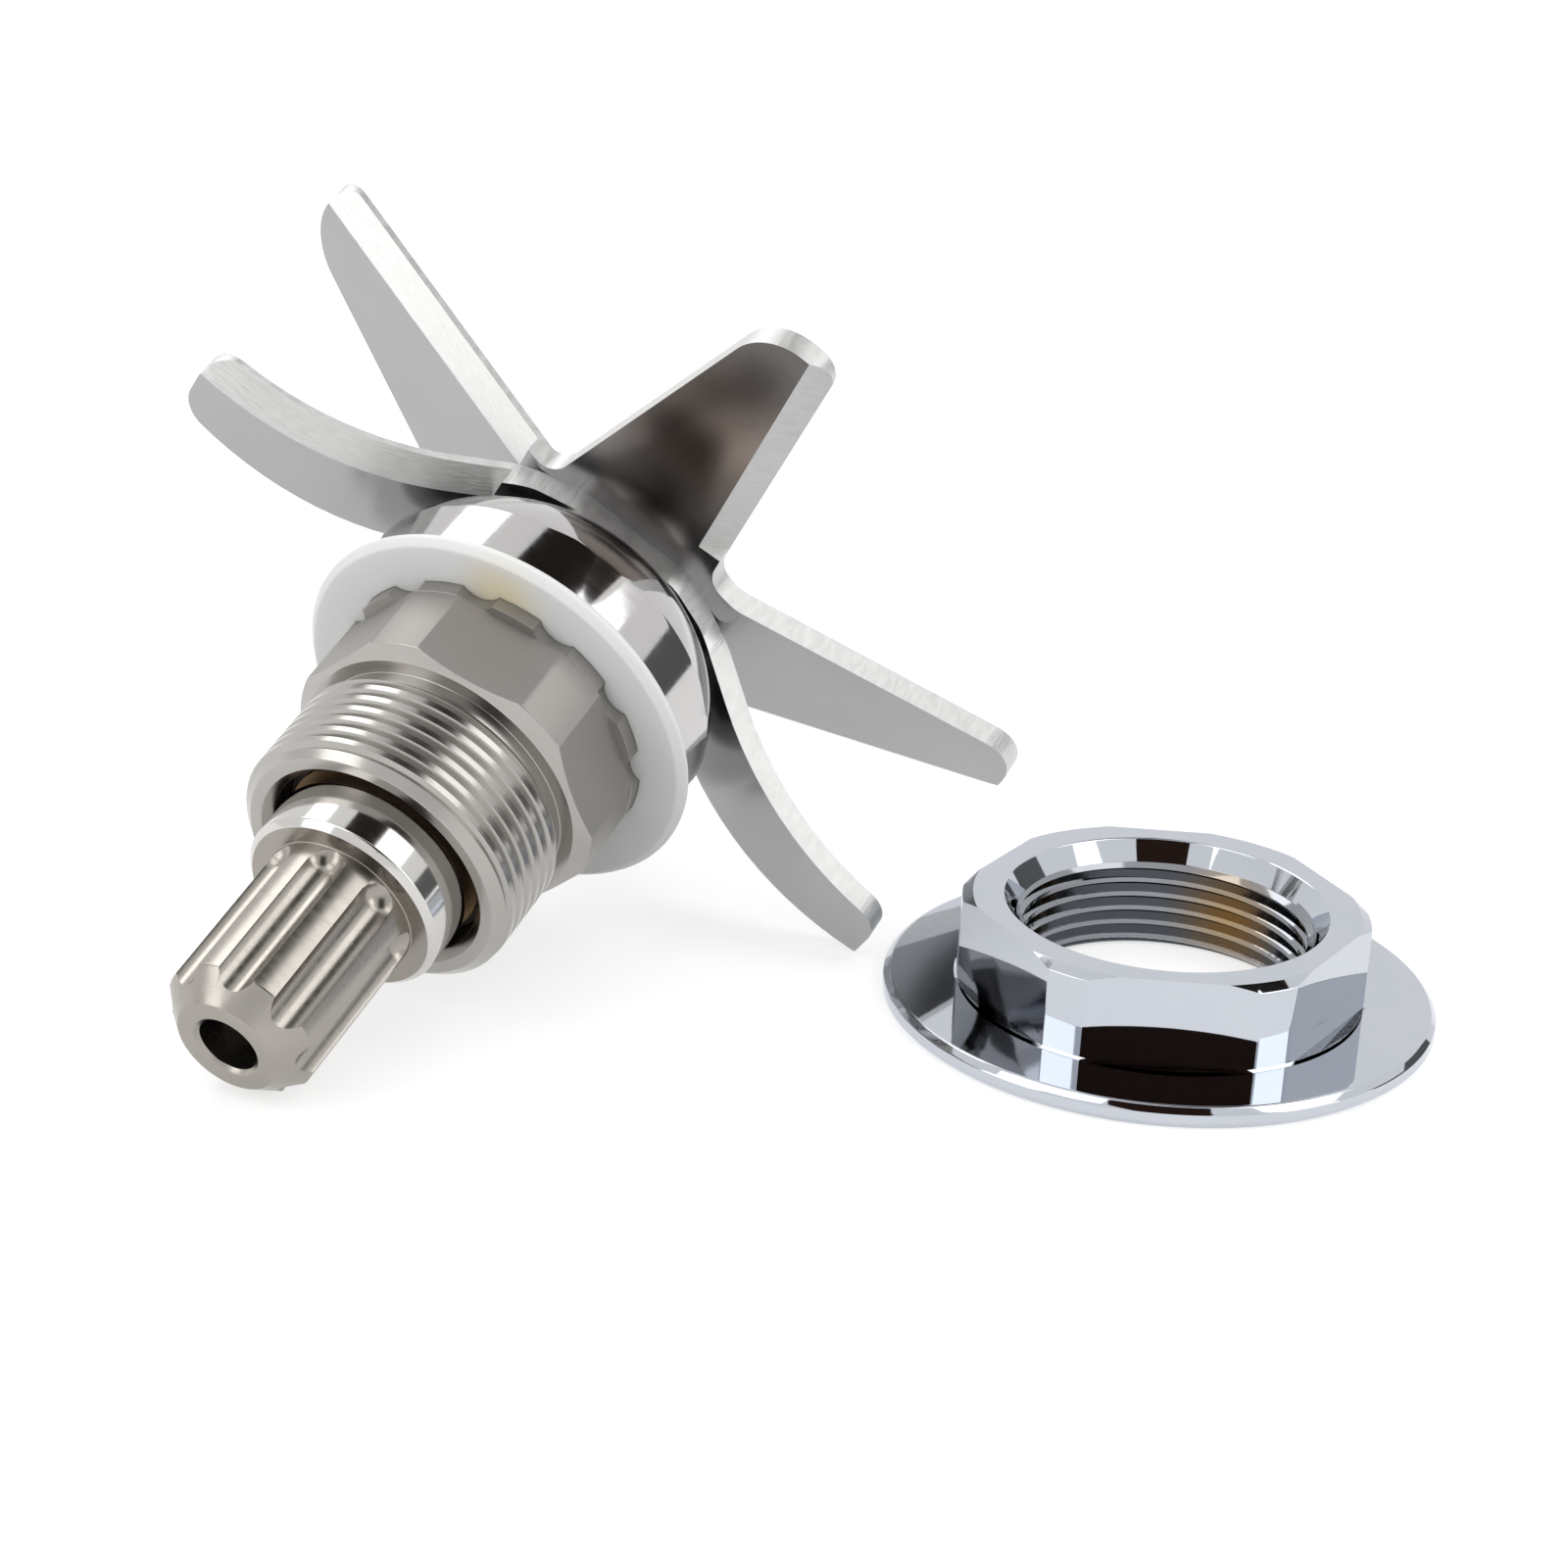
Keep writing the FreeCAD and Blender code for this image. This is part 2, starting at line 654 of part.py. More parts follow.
def make_lower_blade():
    """Two arms that bend down and level out again towards their tips."""
    body = new_body("lower_blade")
    bottom = "blade_seat"
    pieces = [("line", size("lower_bend_start")),
              ("bend", size("lower_bend_radius"), -size("lower_bend_angle")),
              ("line", size("lower_slope_length")),
              ("bend", size("lower_return_radius"), size("lower_return_angle"))]
    bent_strip(body, "lower_blade", pieces, bottom)
    reach = size("lower_arm_reach")
    hub_x, hub_y = size("lower_hub_half_length"), size("lower_hub_half_width")
    hub_round, neck_round = size("lower_hub_round"), size("lower_neck_round")
    half = [(reach, -size("lower_trail_tip"), size("lower_tip_round")),
            (reach, size("lower_lead_tip"), size("lower_tip_round")),
            (size("lower_root_station"), size("lower_lead_root"), neck_round),
            (hub_x, hub_y, hub_round),
            (-hub_x, hub_y, hub_round),
            (-size("lower_root_station"), size("lower_trail_root"), neck_round)]
    corners = half + [(-x, -y, radius) for x, y, radius in half]
    punch(body, "lower_blade", corners, bottom)
    leads = size("lower_bevel_start"), size("lower_lead_root"), size("lower_lead_tip")
    for index in range(2):
        grind(body, f"lower_blade_bevel_{index + 1}", pieces, bottom, *leads, reach, 180 * index)
    return body


# Fasteners on the blades

def make_washer():
    return make_turned("blade_washer", [
        ("clear_journal", "cross_blade_top"),
        ("washer_radius", "cross_blade_top"),
        ("washer_radius", "washer_top - washer_edge"),
        ("washer_radius - washer_edge", "washer_top"),
        ("clear_journal", "washer_top"),
    ])


def make_spring_washer():
    body = make_ring("spring_washer", "clear_journal", "spring_washer_radius",
                     "washer_top", "spring_washer_top")
    half = "spring_washer_slot / 2"
    slot = outline(body, "spring_washer_slot_outline", [
        ("0", f"0 - {half}"),
        ("spring_washer_radius + cutter_margin", f"0 - {half}"),
        ("spring_washer_radius + cutter_margin", half),
        ("0", half),
    ], "XY_Plane", "washer_top")
    extruded(body, "spring_washer_cut", slot, "spring_washer_thickness", "Pocket")
    return body


def make_cap_nut():
    body = new_body("blade_cap_nut")
    turned, chamfered = "cap_nut_turned_radius", "cap_nut_turned_radius - cap_nut_chamfer"
    hex_top = "spring_washer_top + cap_nut_hex_height"
    revolved(body, "cap_nut_blank", [
        ("clear_journal", "spring_washer_top"),
        (chamfered, "spring_washer_top"),
        (turned, "spring_washer_top + cap_nut_chamfer_height"),
        (turned, f"{hex_top} - cap_nut_chamfer_height"),
        (chamfered, hex_top),
        ("cap_nut_dome_radius", hex_top, "cap_nut_dome_radius"),
        ("cap_nut_crown_radius", "spring_washer_top + cap_nut_height"),
        ("0", "spring_washer_top + cap_nut_height"),
        ("0", "spring_washer_top + cap_nut_hole_depth"),
        ("clear_journal", "spring_washer_top + cap_nut_hole_depth"),
    ])
    trim_to_hexagon(body, "cap_nut_flats", "cap_nut_across_flats", turned,
                    "spring_washer_top", "cap_nut_hex_height")
    return body


# Retaining nut, drawn flat side down on its own axis

def make_retaining_nut():
    body = new_body("retaining_nut")
    revolved(body, "nut_blank", [
        ("nut_bore_radius", "0"),
        ("nut_flange_radius - nut_flange_edge", "0"),
        ("nut_flange_radius", "nut_flange_edge"),
        ("nut_flange_radius", "nut_flange_thickness - nut_flange_edge"),
        ("nut_flange_radius - nut_flange_edge", "nut_flange_thickness"),
        ("nut_turned_radius", "nut_flange_thickness"),
        ("nut_turned_radius", "nut_height - nut_edge"),
        ("nut_turned_radius - nut_edge_width", "nut_height"),
        ("nut_bore_radius + nut_mouth_widening", "nut_height"),
        ("nut_bore_radius", "nut_height - nut_mouth_depth"),
    ])
    trim_to_hexagon(body, "nut_flats", "nut_across_flats", "nut_turned_radius",
                    "nut_flange_thickness", "nut_height - nut_flange_thickness", "30 + nut_turn")
    return body


stack = [
    make_housing(),
    make_gasket(),
    make_bushing("lower_bushing", "lower_flange_bottom", "mouth_floor", "lower_bushing_top"),
    make_bushing("upper_bushing", "seal_floor", "upper_flange_seat", "upper_bushing_bottom"),
    make_ring("oil_felt", "bushing_radius - felt_wall", "bushing_radius - fit_clearance",
              "lower_bushing_top", "upper_bushing_bottom"),
    make_ring("lower_fibre_washer", "clear_journal + running_clearance", "lower_washer_radius",
              "lower_flange_bottom - thrust_washer_thickness", "lower_flange_bottom"),
    make_ring("lower_steel_washer", "clear_journal", "lower_washer_radius",
              "collar_end", "collar_end + thrust_washer_thickness"),
    make_ring("upper_fibre_washer", "clear_journal + running_clearance", "upper_washer_radius",
              "seal_floor", "upper_washer_top"),
    make_ring("upper_steel_washer", "clear_journal", "upper_washer_radius",
              "upper_washer_top + running_clearance", "sleeve_bottom"),
    make_lip_seal(),
    make_ring("seal_retaining_ring", "seal_radius - retaining_ring_width", "seal_radius - fit_clearance",
              "seal_floor + seal_height", "seal_floor + seal_height + retaining_ring_thickness"),
    make_shaft(),
    make_thrust_sleeve(),
    make_lower_blade(),
    make_cross_blade(),
    make_washer(),
    make_spring_washer(),
    make_cap_nut(),
]
nut = make_retaining_nut()
doc.recompute()

# The stack lies on three points: the spline's end, the tip of a lower arm and the tip of a flat arm

def skin_points(label, keep):
    """Close-set points on a piece's surface, those that pass the test."""
    return [point for point in pieces_by_label[label].Shape.tessellate(0.02)[0] if keep(point)]


def lying_direction(contacts, up):
    """The stack's own direction that points up when all three contact groups touch the table.

    It starts from a rough guess and settles in a few rounds.
    """
    for _ in range(20):
        low = [min(points, key=up.dot) for points in contacts]
        normal = (low[1] - low[0]).cross(low[2] - low[0]).normalize()
        up = normal if normal.dot(up) > 0 else normal * -1
    return up


pieces_by_label = {piece.Label: piece for piece in stack + [nut]}
contacts = [
    skin_points("drive_shaft", lambda p: p.z < size("spline_end + cutter_margin")),
    skin_points("lower_blade", lambda p: p.x > size("lower_arm_reach - cutter_margin")),
    skin_points("cross_blade", lambda p: p.y > size("flat_arm_reach - cutter_margin")),
]
up = lying_direction(contacts, Vector(-1, -1, 0.5))
forward = (Vector(0, 0, 1) - up * up.z).normalize()
own_frame = Rotation(forward, up.cross(forward), up, "XYZ")
heading = radians(size("heading"))
table_frame = Rotation(Vector(cos(heading), sin(heading), 0), Vector(-sin(heading), cos(heading), 0),
                       Vector(0, 0, 1), "XYZ")
lie = table_frame * own_frame.inverted()
low = min(lie.multVec(p).z for points in contacts for p in points)
spline_end = lie.multVec(Vector(0, 0, size("spline_end")))
stack_place = Placement(Vector(0, 0, -low), lie)
nut_centre = Vector(spline_end.x + size("nut_aside"), spline_end.y + size("nut_behind"), 0)
nut_place = Placement(nut_centre, Rotation())

# The origin is on the table, under the middle of everything

box = FreeCAD.BoundBox()
for piece in stack + [nut]:
    shape = piece.Shape.copy()
    shape.Placement = (nut_place if piece is nut else stack_place) * shape.Placement
    box.add(shape.optimalBoundingBox(False, False))
to_origin = Placement(Vector(-box.Center.x, -box.Center.y, 0), Rotation())
for piece in stack + [nut]:
    piece.Placement = to_origin * (nut_place if piece is nut else stack_place)
doc.recompute()

# Every object is whole before anything is written

for item in doc.Objects:
    if "Invalid" in item.State or "Error" in item.State:
        raise ValueError(f"{item.Label} is {item.State}")
for label, piece in pieces_by_label.items():
    if piece.Shape.isNull() or not piece.Shape.isValid():
        raise ValueError(f"{label} has no valid shape")

os.makedirs("parts", exist_ok=True)
for label, piece in pieces_by_label.items():
    piece.Shape.exportStep(f"parts/{label}.step")
    print(label, round(piece.Shape.Volume, 1))
print("box", box.XLength, box.YLength, box.ZLength)
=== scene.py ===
"""The looks of a jug blender's blade assembly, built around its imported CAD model.

Each piece is modelled in millimetres where its maker would draw it: the stack with Z along the shaft and
zero at the flange's underside, the retaining nut on its own axis with its flange at zero. The finished
piece is then scaled to metres and laid where the CAD model has it.
"""

import json
import logging
import math
from collections.abc import Callable, Sequence
from dataclasses import dataclass, field, replace
from enum import Enum

import bpy
from mathutils import Euler, Matrix, Vector

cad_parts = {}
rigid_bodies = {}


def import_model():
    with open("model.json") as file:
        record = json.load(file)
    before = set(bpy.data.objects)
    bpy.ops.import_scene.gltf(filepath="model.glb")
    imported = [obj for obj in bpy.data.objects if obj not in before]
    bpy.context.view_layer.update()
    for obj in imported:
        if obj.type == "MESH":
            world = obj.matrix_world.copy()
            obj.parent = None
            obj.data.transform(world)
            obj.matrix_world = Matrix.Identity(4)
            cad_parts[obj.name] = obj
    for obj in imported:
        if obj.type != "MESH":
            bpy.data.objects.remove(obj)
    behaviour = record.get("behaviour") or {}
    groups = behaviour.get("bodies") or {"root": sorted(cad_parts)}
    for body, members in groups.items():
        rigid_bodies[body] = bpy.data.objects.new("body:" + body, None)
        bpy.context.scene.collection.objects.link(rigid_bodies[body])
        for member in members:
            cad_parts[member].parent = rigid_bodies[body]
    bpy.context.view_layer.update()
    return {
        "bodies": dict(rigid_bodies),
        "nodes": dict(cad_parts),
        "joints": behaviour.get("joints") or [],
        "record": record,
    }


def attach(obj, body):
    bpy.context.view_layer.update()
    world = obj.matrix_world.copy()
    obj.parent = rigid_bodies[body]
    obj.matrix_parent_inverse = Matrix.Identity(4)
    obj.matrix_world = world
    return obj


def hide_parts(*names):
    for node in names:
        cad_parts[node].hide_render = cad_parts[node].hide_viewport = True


log = logging.getLogger("blade_assembly")

MILLIMETRE = 0.001
MERGE = 0.0001  # millimetres within which two points are one
NEAR = 0.01  # millimetres within which a face counts as at a height or a radius
MARGIN = 1.0  # millimetres by which a tool at least stands past the piece it cuts
EASING_SHARE = 0.45  # of the shorter edge at a corner, at most, for a common easing
SMOOTH_ANGLE = math.radians(30)

Corner = tuple[float, ...]
Piece = bpy.types.Object
Node = bpy.types.Node
Socket = bpy.types.NodeSocket
Pick = Callable[[Vector, Vector], bool]

NUMBER, VECTOR = "NodeSocketFloat", "NodeSocketVector"
PATTERN_INPUTS = {"Place": VECTOR, "Density": NUMBER}
FIRST_COLOUR, SECOND_COLOUR, MIXED_COLOUR = 6, 7, 2  # the colour sockets of a Mix node, by index
WHITE = (1.0, 1.0, 1.0, 1.0)


# Mesh work, all of it in millimetres


class Cut(Enum):
    """What a tool does to the piece that it meets."""

    AWAY = "DIFFERENCE"
    KEEP = "INTERSECT"


def deselect() -> None:
    """Leaves edit mode and deselects every object."""
    if bpy.context.object and bpy.context.object.mode != "OBJECT":
        bpy.ops.object.mode_set(mode="OBJECT")
    bpy.ops.object.select_all(action="DESELECT")


def pick(piece: Piece) -> None:
    """Makes one object the only selected and the active one."""
    deselect()
    piece.select_set(True)
    bpy.context.view_layer.objects.active = piece


def edit(piece: Piece) -> None:
    """Opens a piece in edit mode with all of it selected."""
    pick(piece)
    bpy.ops.object.mode_set(mode="EDIT")
    bpy.ops.mesh.select_all(action="SELECT")


def turn_outwards() -> None:
    """Merges doubles in the open mesh, points its faces outwards and leaves edit mode."""
    bpy.ops.mesh.select_all(action="SELECT")
    bpy.ops.mesh.remove_doubles(threshold=MERGE)
    bpy.ops.mesh.normals_make_consistent(inside=False)
    bpy.ops.object.mode_set(mode="OBJECT")


def trace(name: str, points: Sequence[Vector]) -> Piece:
    """Draws a chain of edges by extruding one vertex from point to point.

    Args:
        name: The new object's name.
        points: Where the chain goes, in order.

    Returns:
        The chain, out of edit mode.
    """
    deselect()
    bpy.ops.mesh.primitive_plane_add(size=1.0)
    chain = bpy.context.object
    chain.name = name
    edit(chain)
    bpy.ops.mesh.merge(type="CENTER")
    bpy.ops.transform.translate(value=points[0])
    for here, there in zip(points, points[1:]):
        bpy.ops.mesh.extrude_vertices_move(TRANSFORM_OT_translate={"value": there - here})
    bpy.ops.object.mode_set(mode="OBJECT")
    return chain


def rounded(corners: Sequence[Corner], easing: float, closed: bool = True, steps: int = 4) -> list[Corner]:
    """Replaces corners by arcs.

    Args:
        corners: (x, y) with the common easing, or (x, y, radius).
        easing: The radius of corners that give none.
        closed: Whether the last corner joins the first.
        steps: Edges in each arc.

    Returns:
        The points of the eased outline.
    """
    points: list[Corner] = []
    count = len(corners)
    for index, corner in enumerate(corners):
        own_radius = len(corner) > 2
        radius = corner[2] if own_radius else easing
        at = Vector(corner[:2])
        if radius <= 0 or (not closed and index in (0, count - 1)):
            points.append((at.x, at.y))
            continue
        back = Vector(corners[index - 1][:2]) - at
        forth = Vector(corners[(index + 1) % count][:2]) - at
        half = back.angle(forth) / 2
        if not own_radius:
            radius = min(radius, EASING_SHARE * min(back.length, forth.length) * math.tan(half))
        back.normalize()
        forth.normalize()
        inward = (back + forth).normalized()
        centre = at + inward * (radius / math.sin(half))
        start = at + back * (radius / math.tan(half)) - centre
        sweep = start.angle_signed(at + forth * (radius / math.tan(half)) - centre)
        for step in range(steps + 1):
            spoke = start.copy()
            spoke.rotate(Matrix.Rotation(-sweep * step / steps, 2))
            points.append(tuple(centre + spoke))
    return points


def turned(name: str, profile: Sequence[Corner], easing: float = 0.12, closed: bool = True,
           steps: int = 128) -> Piece:
    """Spins an eased profile about Z.

    Args:
        name: The new object's name.
        profile: (radius, height) corners, with an easing radius of their own where they need it.
        easing: The radius of the other corners.
        closed: Whether the profile is a ring's, and not one that ends on the axis.
        steps: Facets round the axis.

    Returns:
        The turned solid.
    """
    points = rounded(profile, easing, closed)
    chain = [Vector((radius, 0, height)) for radius, height in points]
    if closed:
        chain.append(chain[0])
    piece = trace(name, chain)
    edit(piece)
    bpy.ops.mesh.spin(steps=steps, angle=2 * math.pi, center=(0, 0, 0), axis=(0, 0, 1))
    turn_outwards()
    return piece


def prism(name: str, outline: Sequence[Vector], along: Vector, finish_slot: int = 0) -> Piece:
    """Extrudes a closed outline.

    Args:
        name: The new object's name.
        outline: The corners of one end, in order.
        along: The way from one end to the other.
        finish_slot: The material slot of every face, which the faces that it cuts take over.

    Returns:
        The closed prism.
    """
    piece = trace(name, [*outline, outline[0]])
    edit(piece)
    bpy.ops.mesh.remove_doubles(threshold=MERGE)
    bpy.ops.mesh.edge_face_add()
    bpy.ops.mesh.extrude_region_move(TRANSFORM_OT_translate={"value": along})
    turn_outwards()
    for _ in range(finish_slot + 1):
        piece.data.materials.append(None)
    mark(piece, finish_slot, lambda at, normal: True)
    return piece


def settle(piece: Piece) -> None:
    """Makes an object's placing part of its mesh."""
    pick(piece)
    bpy.ops.object.transform_apply(location=True, rotation=True, scale=True)


def rod(radius: float, bottom: float, top: float, facets: int, aside: float = 0.0) -> Piece:
    """Makes an upright round rod, for cutting with."""
    deselect()
    bpy.ops.mesh.primitive_cylinder_add(vertices=facets, radius=radius, depth=top - bottom,
                                        location=(aside, 0, (top + bottom) / 2))
    piece = bpy.context.object
    settle(piece)
    return piece


def column(outline: Sequence[Corner], bottom: float, top: float) -> Piece:
    """Extrudes a plan outline from one height to another."""
    base = [Vector((x, y, bottom)) for x, y in outline]
    return prism("column", base, Vector((0, 0, top - bottom)))


def combine(piece: Piece, tool: Piece, cut: Cut = Cut.AWAY) -> None:
    """Cuts a piece with a tool, which is used up."""
    pick(piece)
    modifier = piece.modifiers.new("cut", "BOOLEAN")
    modifier.operation = cut.value
    modifier.solver = "EXACT"
    modifier.object = tool
    bpy.ops.object.modifier_apply(modifier=modifier.name)
    bpy.data.objects.remove(tool)


def repeated(tool: Piece, count: int, start: float = 0.0) -> Piece:
    """Copies a tool round Z and joins the copies.

    Args:
        tool: The tool to copy, drawn in its place at angle zero.
        count: How many there are in all.
        start: The first one's angle in degrees.

    Returns:
        The joined tools.
    """
    copies = []
    for index in range(count):
        copy = tool.copy()
        copy.data = tool.data.copy()
        bpy.context.scene.collection.objects.link(copy)
        copy.rotation_euler.z = math.radians(start + 360 * index / count)
        copies.append(copy)
    bpy.data.objects.remove(tool)
    pick(copies[0])
    for copy in copies:
        copy.select_set(True)
    bpy.ops.object.join()
    settle(bpy.context.object)
    return bpy.context.object


def ease_edges(piece: Piece, width: float, angle: float = 28.0) -> None:
    """Rounds every sharp edge of a piece with a narrow bevel."""
    pick(piece)
    modifier = piece.modifiers.new("eased", "BEVEL")
    modifier.width = width
    modifier.segments = 2
    modifier.limit_method = "ANGLE"
    modifier.angle_limit = math.radians(angle)
    bpy.ops.object.modifier_apply(modifier=modifier.name)


def mark(piece: Piece, slot: int, here: Pick) -> None:
    """Moves the faces that a test picks, by their middle and normal, to a material slot."""
    for polygon in piece.data.polygons:
        if here(polygon.center, polygon.normal):
            polygon.material_index = slot


def hexagon_trimmer(across_flats: float, reach: float, bottom: float, top: float,
                    turn: float) -> Piece:
    """Makes the ring that trims a turned blank to a hexagon.

    Args:
        across_flats: The hexagon's size.
        reach: The ring's outer radius.
        bottom: The ring's lower height.
        top: The ring's upper height.
        turn: The angle in degrees that one flat faces.

    Returns:
        The ring with a hexagonal hole.
    """
    ring = rod(reach, bottom, top, facets=64)
    corner = across_flats / 2 / math.cos(math.pi / 6)
    spokes = [math.radians(turn + 30 + 60 * index) for index in range(6)]
    outline = [(corner * math.cos(spoke), corner * math.sin(spoke)) for spoke in spokes]
    combine(ring, column(outline, bottom - MARGIN, top + MARGIN))
    return ring


@dataclass(frozen=True)
class Thread:
    """A screw thread as the helical groove that is cut for it."""

    tip_radius: float
    open_radius: float
    half_width: float
    pitch: float
    start: float
    turns: int
    steps: int = 96

    def cutter(self) -> Piece:
        """Sweeps the groove's triangle along its helix and closes the ends."""
        corners = [(self.tip_radius, 0.0), (self.open_radius, self.half_width),
                   (self.open_radius, -self.half_width), (self.tip_radius, 0.0)]
        tool = trace("groove", [Vector((radius, 0, self.start + height)) for radius, height in corners])
        edit(tool)
        turn_outwards()
        pick(tool)
        modifier = tool.modifiers.new("helix", "SCREW")
        modifier.screw_offset = self.pitch
        modifier.iterations = self.turns
        modifier.steps = modifier.render_steps = self.steps
        bpy.ops.object.modifier_apply(modifier=modifier.name)
        edit(tool)
        bpy.ops.mesh.remove_doubles(threshold=MERGE)
        bpy.ops.mesh.fill_holes(sides=0)
        turn_outwards()
        return tool


# Finishes


class Wiring:
    """Short ways to add and link the nodes of one tree."""

    def __init__(self, tree: bpy.types.NodeTree) -> None:
        """Takes the tree that the nodes go into."""
        self.tree = tree

    def add(self, kind: str, **settings: object) -> Node:
        """Adds a node and sets its properties, or its inputs by index where the name starts with an i.

        Args:
            kind: The node's type without the ShaderNode prefix.
            settings: Properties by name, and inputs as i0, i1 and so on, by value or from a socket.

        Returns:
            The node.
        """
        node = self.tree.nodes.new(kind if kind.startswith("Node") else f"ShaderNode{kind}")
        for name, value in settings.items():
            if name[0] == "i" and name[1:].isdigit():
                self.feed(node.inputs[int(name[1:])], value)
            else:
                setattr(node, name, value)
        return node

    def feed(self, socket: Socket, value: object) -> None:
        """Links a socket or sets a value on an input."""
        if isinstance(value, Socket):
            self.tree.links.new(value, socket)
        else:
            socket.default_value = value

    def blend(self, share: object, first: object, second: object) -> Socket:
        """Mixes two colours by a share that varies over the surface.

        Args:
            share: How far the colour goes from the first to the second.
            first: A tone or a socket.
            second: A tone or a socket.

        Returns:
            The mixed colour.
        """
        node = self.add("Mix", data_type="RGBA")
        self.feed(node.inputs["Factor"], share)
        for slot, colour in ((FIRST_COLOUR, first), (SECOND_COLOUR, second)):
            self.feed(node.inputs[slot], colour if isinstance(colour, Socket) else (*colour, 1.0))
        return node.outputs[MIXED_COLOUR]

    def spread(self, value: object, low: float, high: float) -> Socket:
        """Maps a share from 0 to 1 onto a range."""
        return self.add("MapRange", i0=value, i1=0.0, i2=1.0, i3=low, i4=high).outputs[0]

    def noise(self, place: Socket, density: object, detail: float, dimensions: str = "3D") -> Socket:
        """Reads a noise at a place."""
        return self.add("TexNoise", noise_dimensions=dimensions, i0=place, i2=density, i3=detail).outputs[0]


def new_material(name: str) -> tuple[bpy.types.Material, Wiring, Node]:
    """Makes a material and gives it with its wiring and its shader."""
    made = bpy.data.materials.new(name)
    made.use_nodes = True
    return made, Wiring(made.node_tree), made.node_tree.nodes["Principled BSDF"]


def effect_group(name: str, inputs: dict[str, str],
                 wire: Callable[[Wiring, Node], Socket]) -> bpy.types.NodeTree:
    """Builds a shader node group with a Share output once.

    Args:
        name: The group's name.
        inputs: The socket type of each input.
        wire: Adds the nodes and returns the socket that gives the share.

    Returns:
        The group.
    """
    if name in bpy.data.node_groups:
        return bpy.data.node_groups[name]
    tree = bpy.data.node_groups.new(name, "ShaderNodeTree")
    for label, kind in inputs.items():
        tree.interface.new_socket(name=label, in_out="INPUT", socket_type=kind)
    tree.interface.new_socket(name="Share", in_out="OUTPUT", socket_type=NUMBER)
    wiring = Wiring(tree)
    entry = wiring.add("NodeGroupInput")
    share = wire(wiring, entry)
    wiring.feed(wiring.add("NodeGroupOutput").inputs["Share"], share)
    return tree


def turning_rings() -> bpy.types.NodeTree:
    """Fine rings round Z, as a lathe leaves them on cylinders, cones and end faces."""

    def wire(wiring: Wiring, entry: Node) -> Socket:
        """Reads noise by radius and height alone."""
        split = wiring.add("SeparateXYZ", i0=entry.outputs["Place"])
        flat = wiring.add("CombineXYZ", i0=split.outputs[0], i1=split.outputs[1])
        radius = wiring.add("VectorMath", operation="LENGTH", i0=flat.outputs[0])
        section = wiring.add("CombineXYZ", i0=radius.outputs["Value"], i1=split.outputs[2])
        return wiring.noise(section.outputs[0], entry.outputs["Density"], detail=3.0, dimensions="2D")

    return effect_group("turning_rings", PATTERN_INPUTS, wire)


def handling_marks() -> bpy.types.NodeTree:
    """Soft cloudy patches with a few sharper specks, as handling leaves on metal."""

    def wire(wiring: Wiring, entry: Node) -> Socket:
        """Adds a fine noise to a coarse one."""
        cloud = wiring.noise(entry.outputs["Place"], entry.outputs["Density"], detail=4.0)
        speck = wiring.noise(entry.outputs["Place"], density=6.0, detail=2.0)
        speck_share = 0.3
        return wiring.add("Mix", i0=speck_share, i2=cloud, i3=speck).outputs[0]

    return effect_group("handling_marks", PATTERN_INPUTS, wire)


def grinding_scratches() -> bpy.types.NodeTree:
    """Short scratches side by side, as a grinding wheel leaves them."""

    def wire(wiring: Wiring, entry: Node) -> Socket:
        """Stretches noise along one direction."""
        stretch = (0.5, 6.0, 0.5)
        drawn = wiring.add("Mapping", i0=entry.outputs["Place"], i3=stretch)
        return wiring.noise(drawn.outputs[0], entry.outputs["Density"], detail=4.0)

    return effect_group("grinding_scratches", PATTERN_INPUTS, wire)


def soft_spot() -> bpy.types.NodeTree:
    """A round spot that fades out at its reach."""

    def wire(wiring: Wiring, entry: Node) -> Socket:
        """Falls off with the distance from the spot's middle."""
        away = wiring.add("VectorMath", operation="DISTANCE", i0=entry.outputs["Place"],
                          i1=entry.outputs["Middle"])
        return wiring.add("MapRange", interpolation_type="SMOOTHSTEP", i0=away.outputs["Value"], i1=0.0,
                          i2=entry.outputs["Reach"], i3=1.0, i4=0.0).outputs[0]

    return effect_group("soft_spot", {"Place": VECTOR, "Reach": NUMBER, "Middle": VECTOR}, wire)


@dataclass(frozen=True)
class TintAndPaintedReflection:
    """A soft tint round one point of a piece, in its frame's millimetres; on the cross blade it is a painted
    reflection.
    """

    middle: Corner
    reach: float
    tone: Corner
    strength: float

    def over(self, wiring: Wiring, place: Socket, colour: Socket) -> Socket:
        """Tints a colour near the spot.

        Args:
            wiring: The material's wiring.
            place: The place in the piece's frame.
            colour: The clean colour.

        Returns:
            The tinted colour.
        """
        spot = wiring.add("Group", node_tree=soft_spot(), i0=place, i1=self.reach, i2=self.middle)
        share = wiring.spread(spot.outputs["Share"], 0.0, self.strength)
        return wiring.blend(share, colour, self.tone)


@dataclass(frozen=True)
class Frame:
    """A place in the row frame, with a pattern mapping that undoes it."""

    matrix: Matrix

    def mapping(self, wiring: Wiring) -> Socket:
        """Object coordinates turned into this frame, in millimetres."""
        turn = self.matrix.to_3x3().transposed()
        away = turn @ self.matrix.translation * (-1 / MILLIMETRE)
        coordinates = wiring.add("TexCoord").outputs["Object"]
        scale = 1 / MILLIMETRE
        return wiring.add("Mapping", i0=coordinates, i1=away, i2=turn.to_euler(),
                          i3=(scale, scale, scale)).outputs[0]


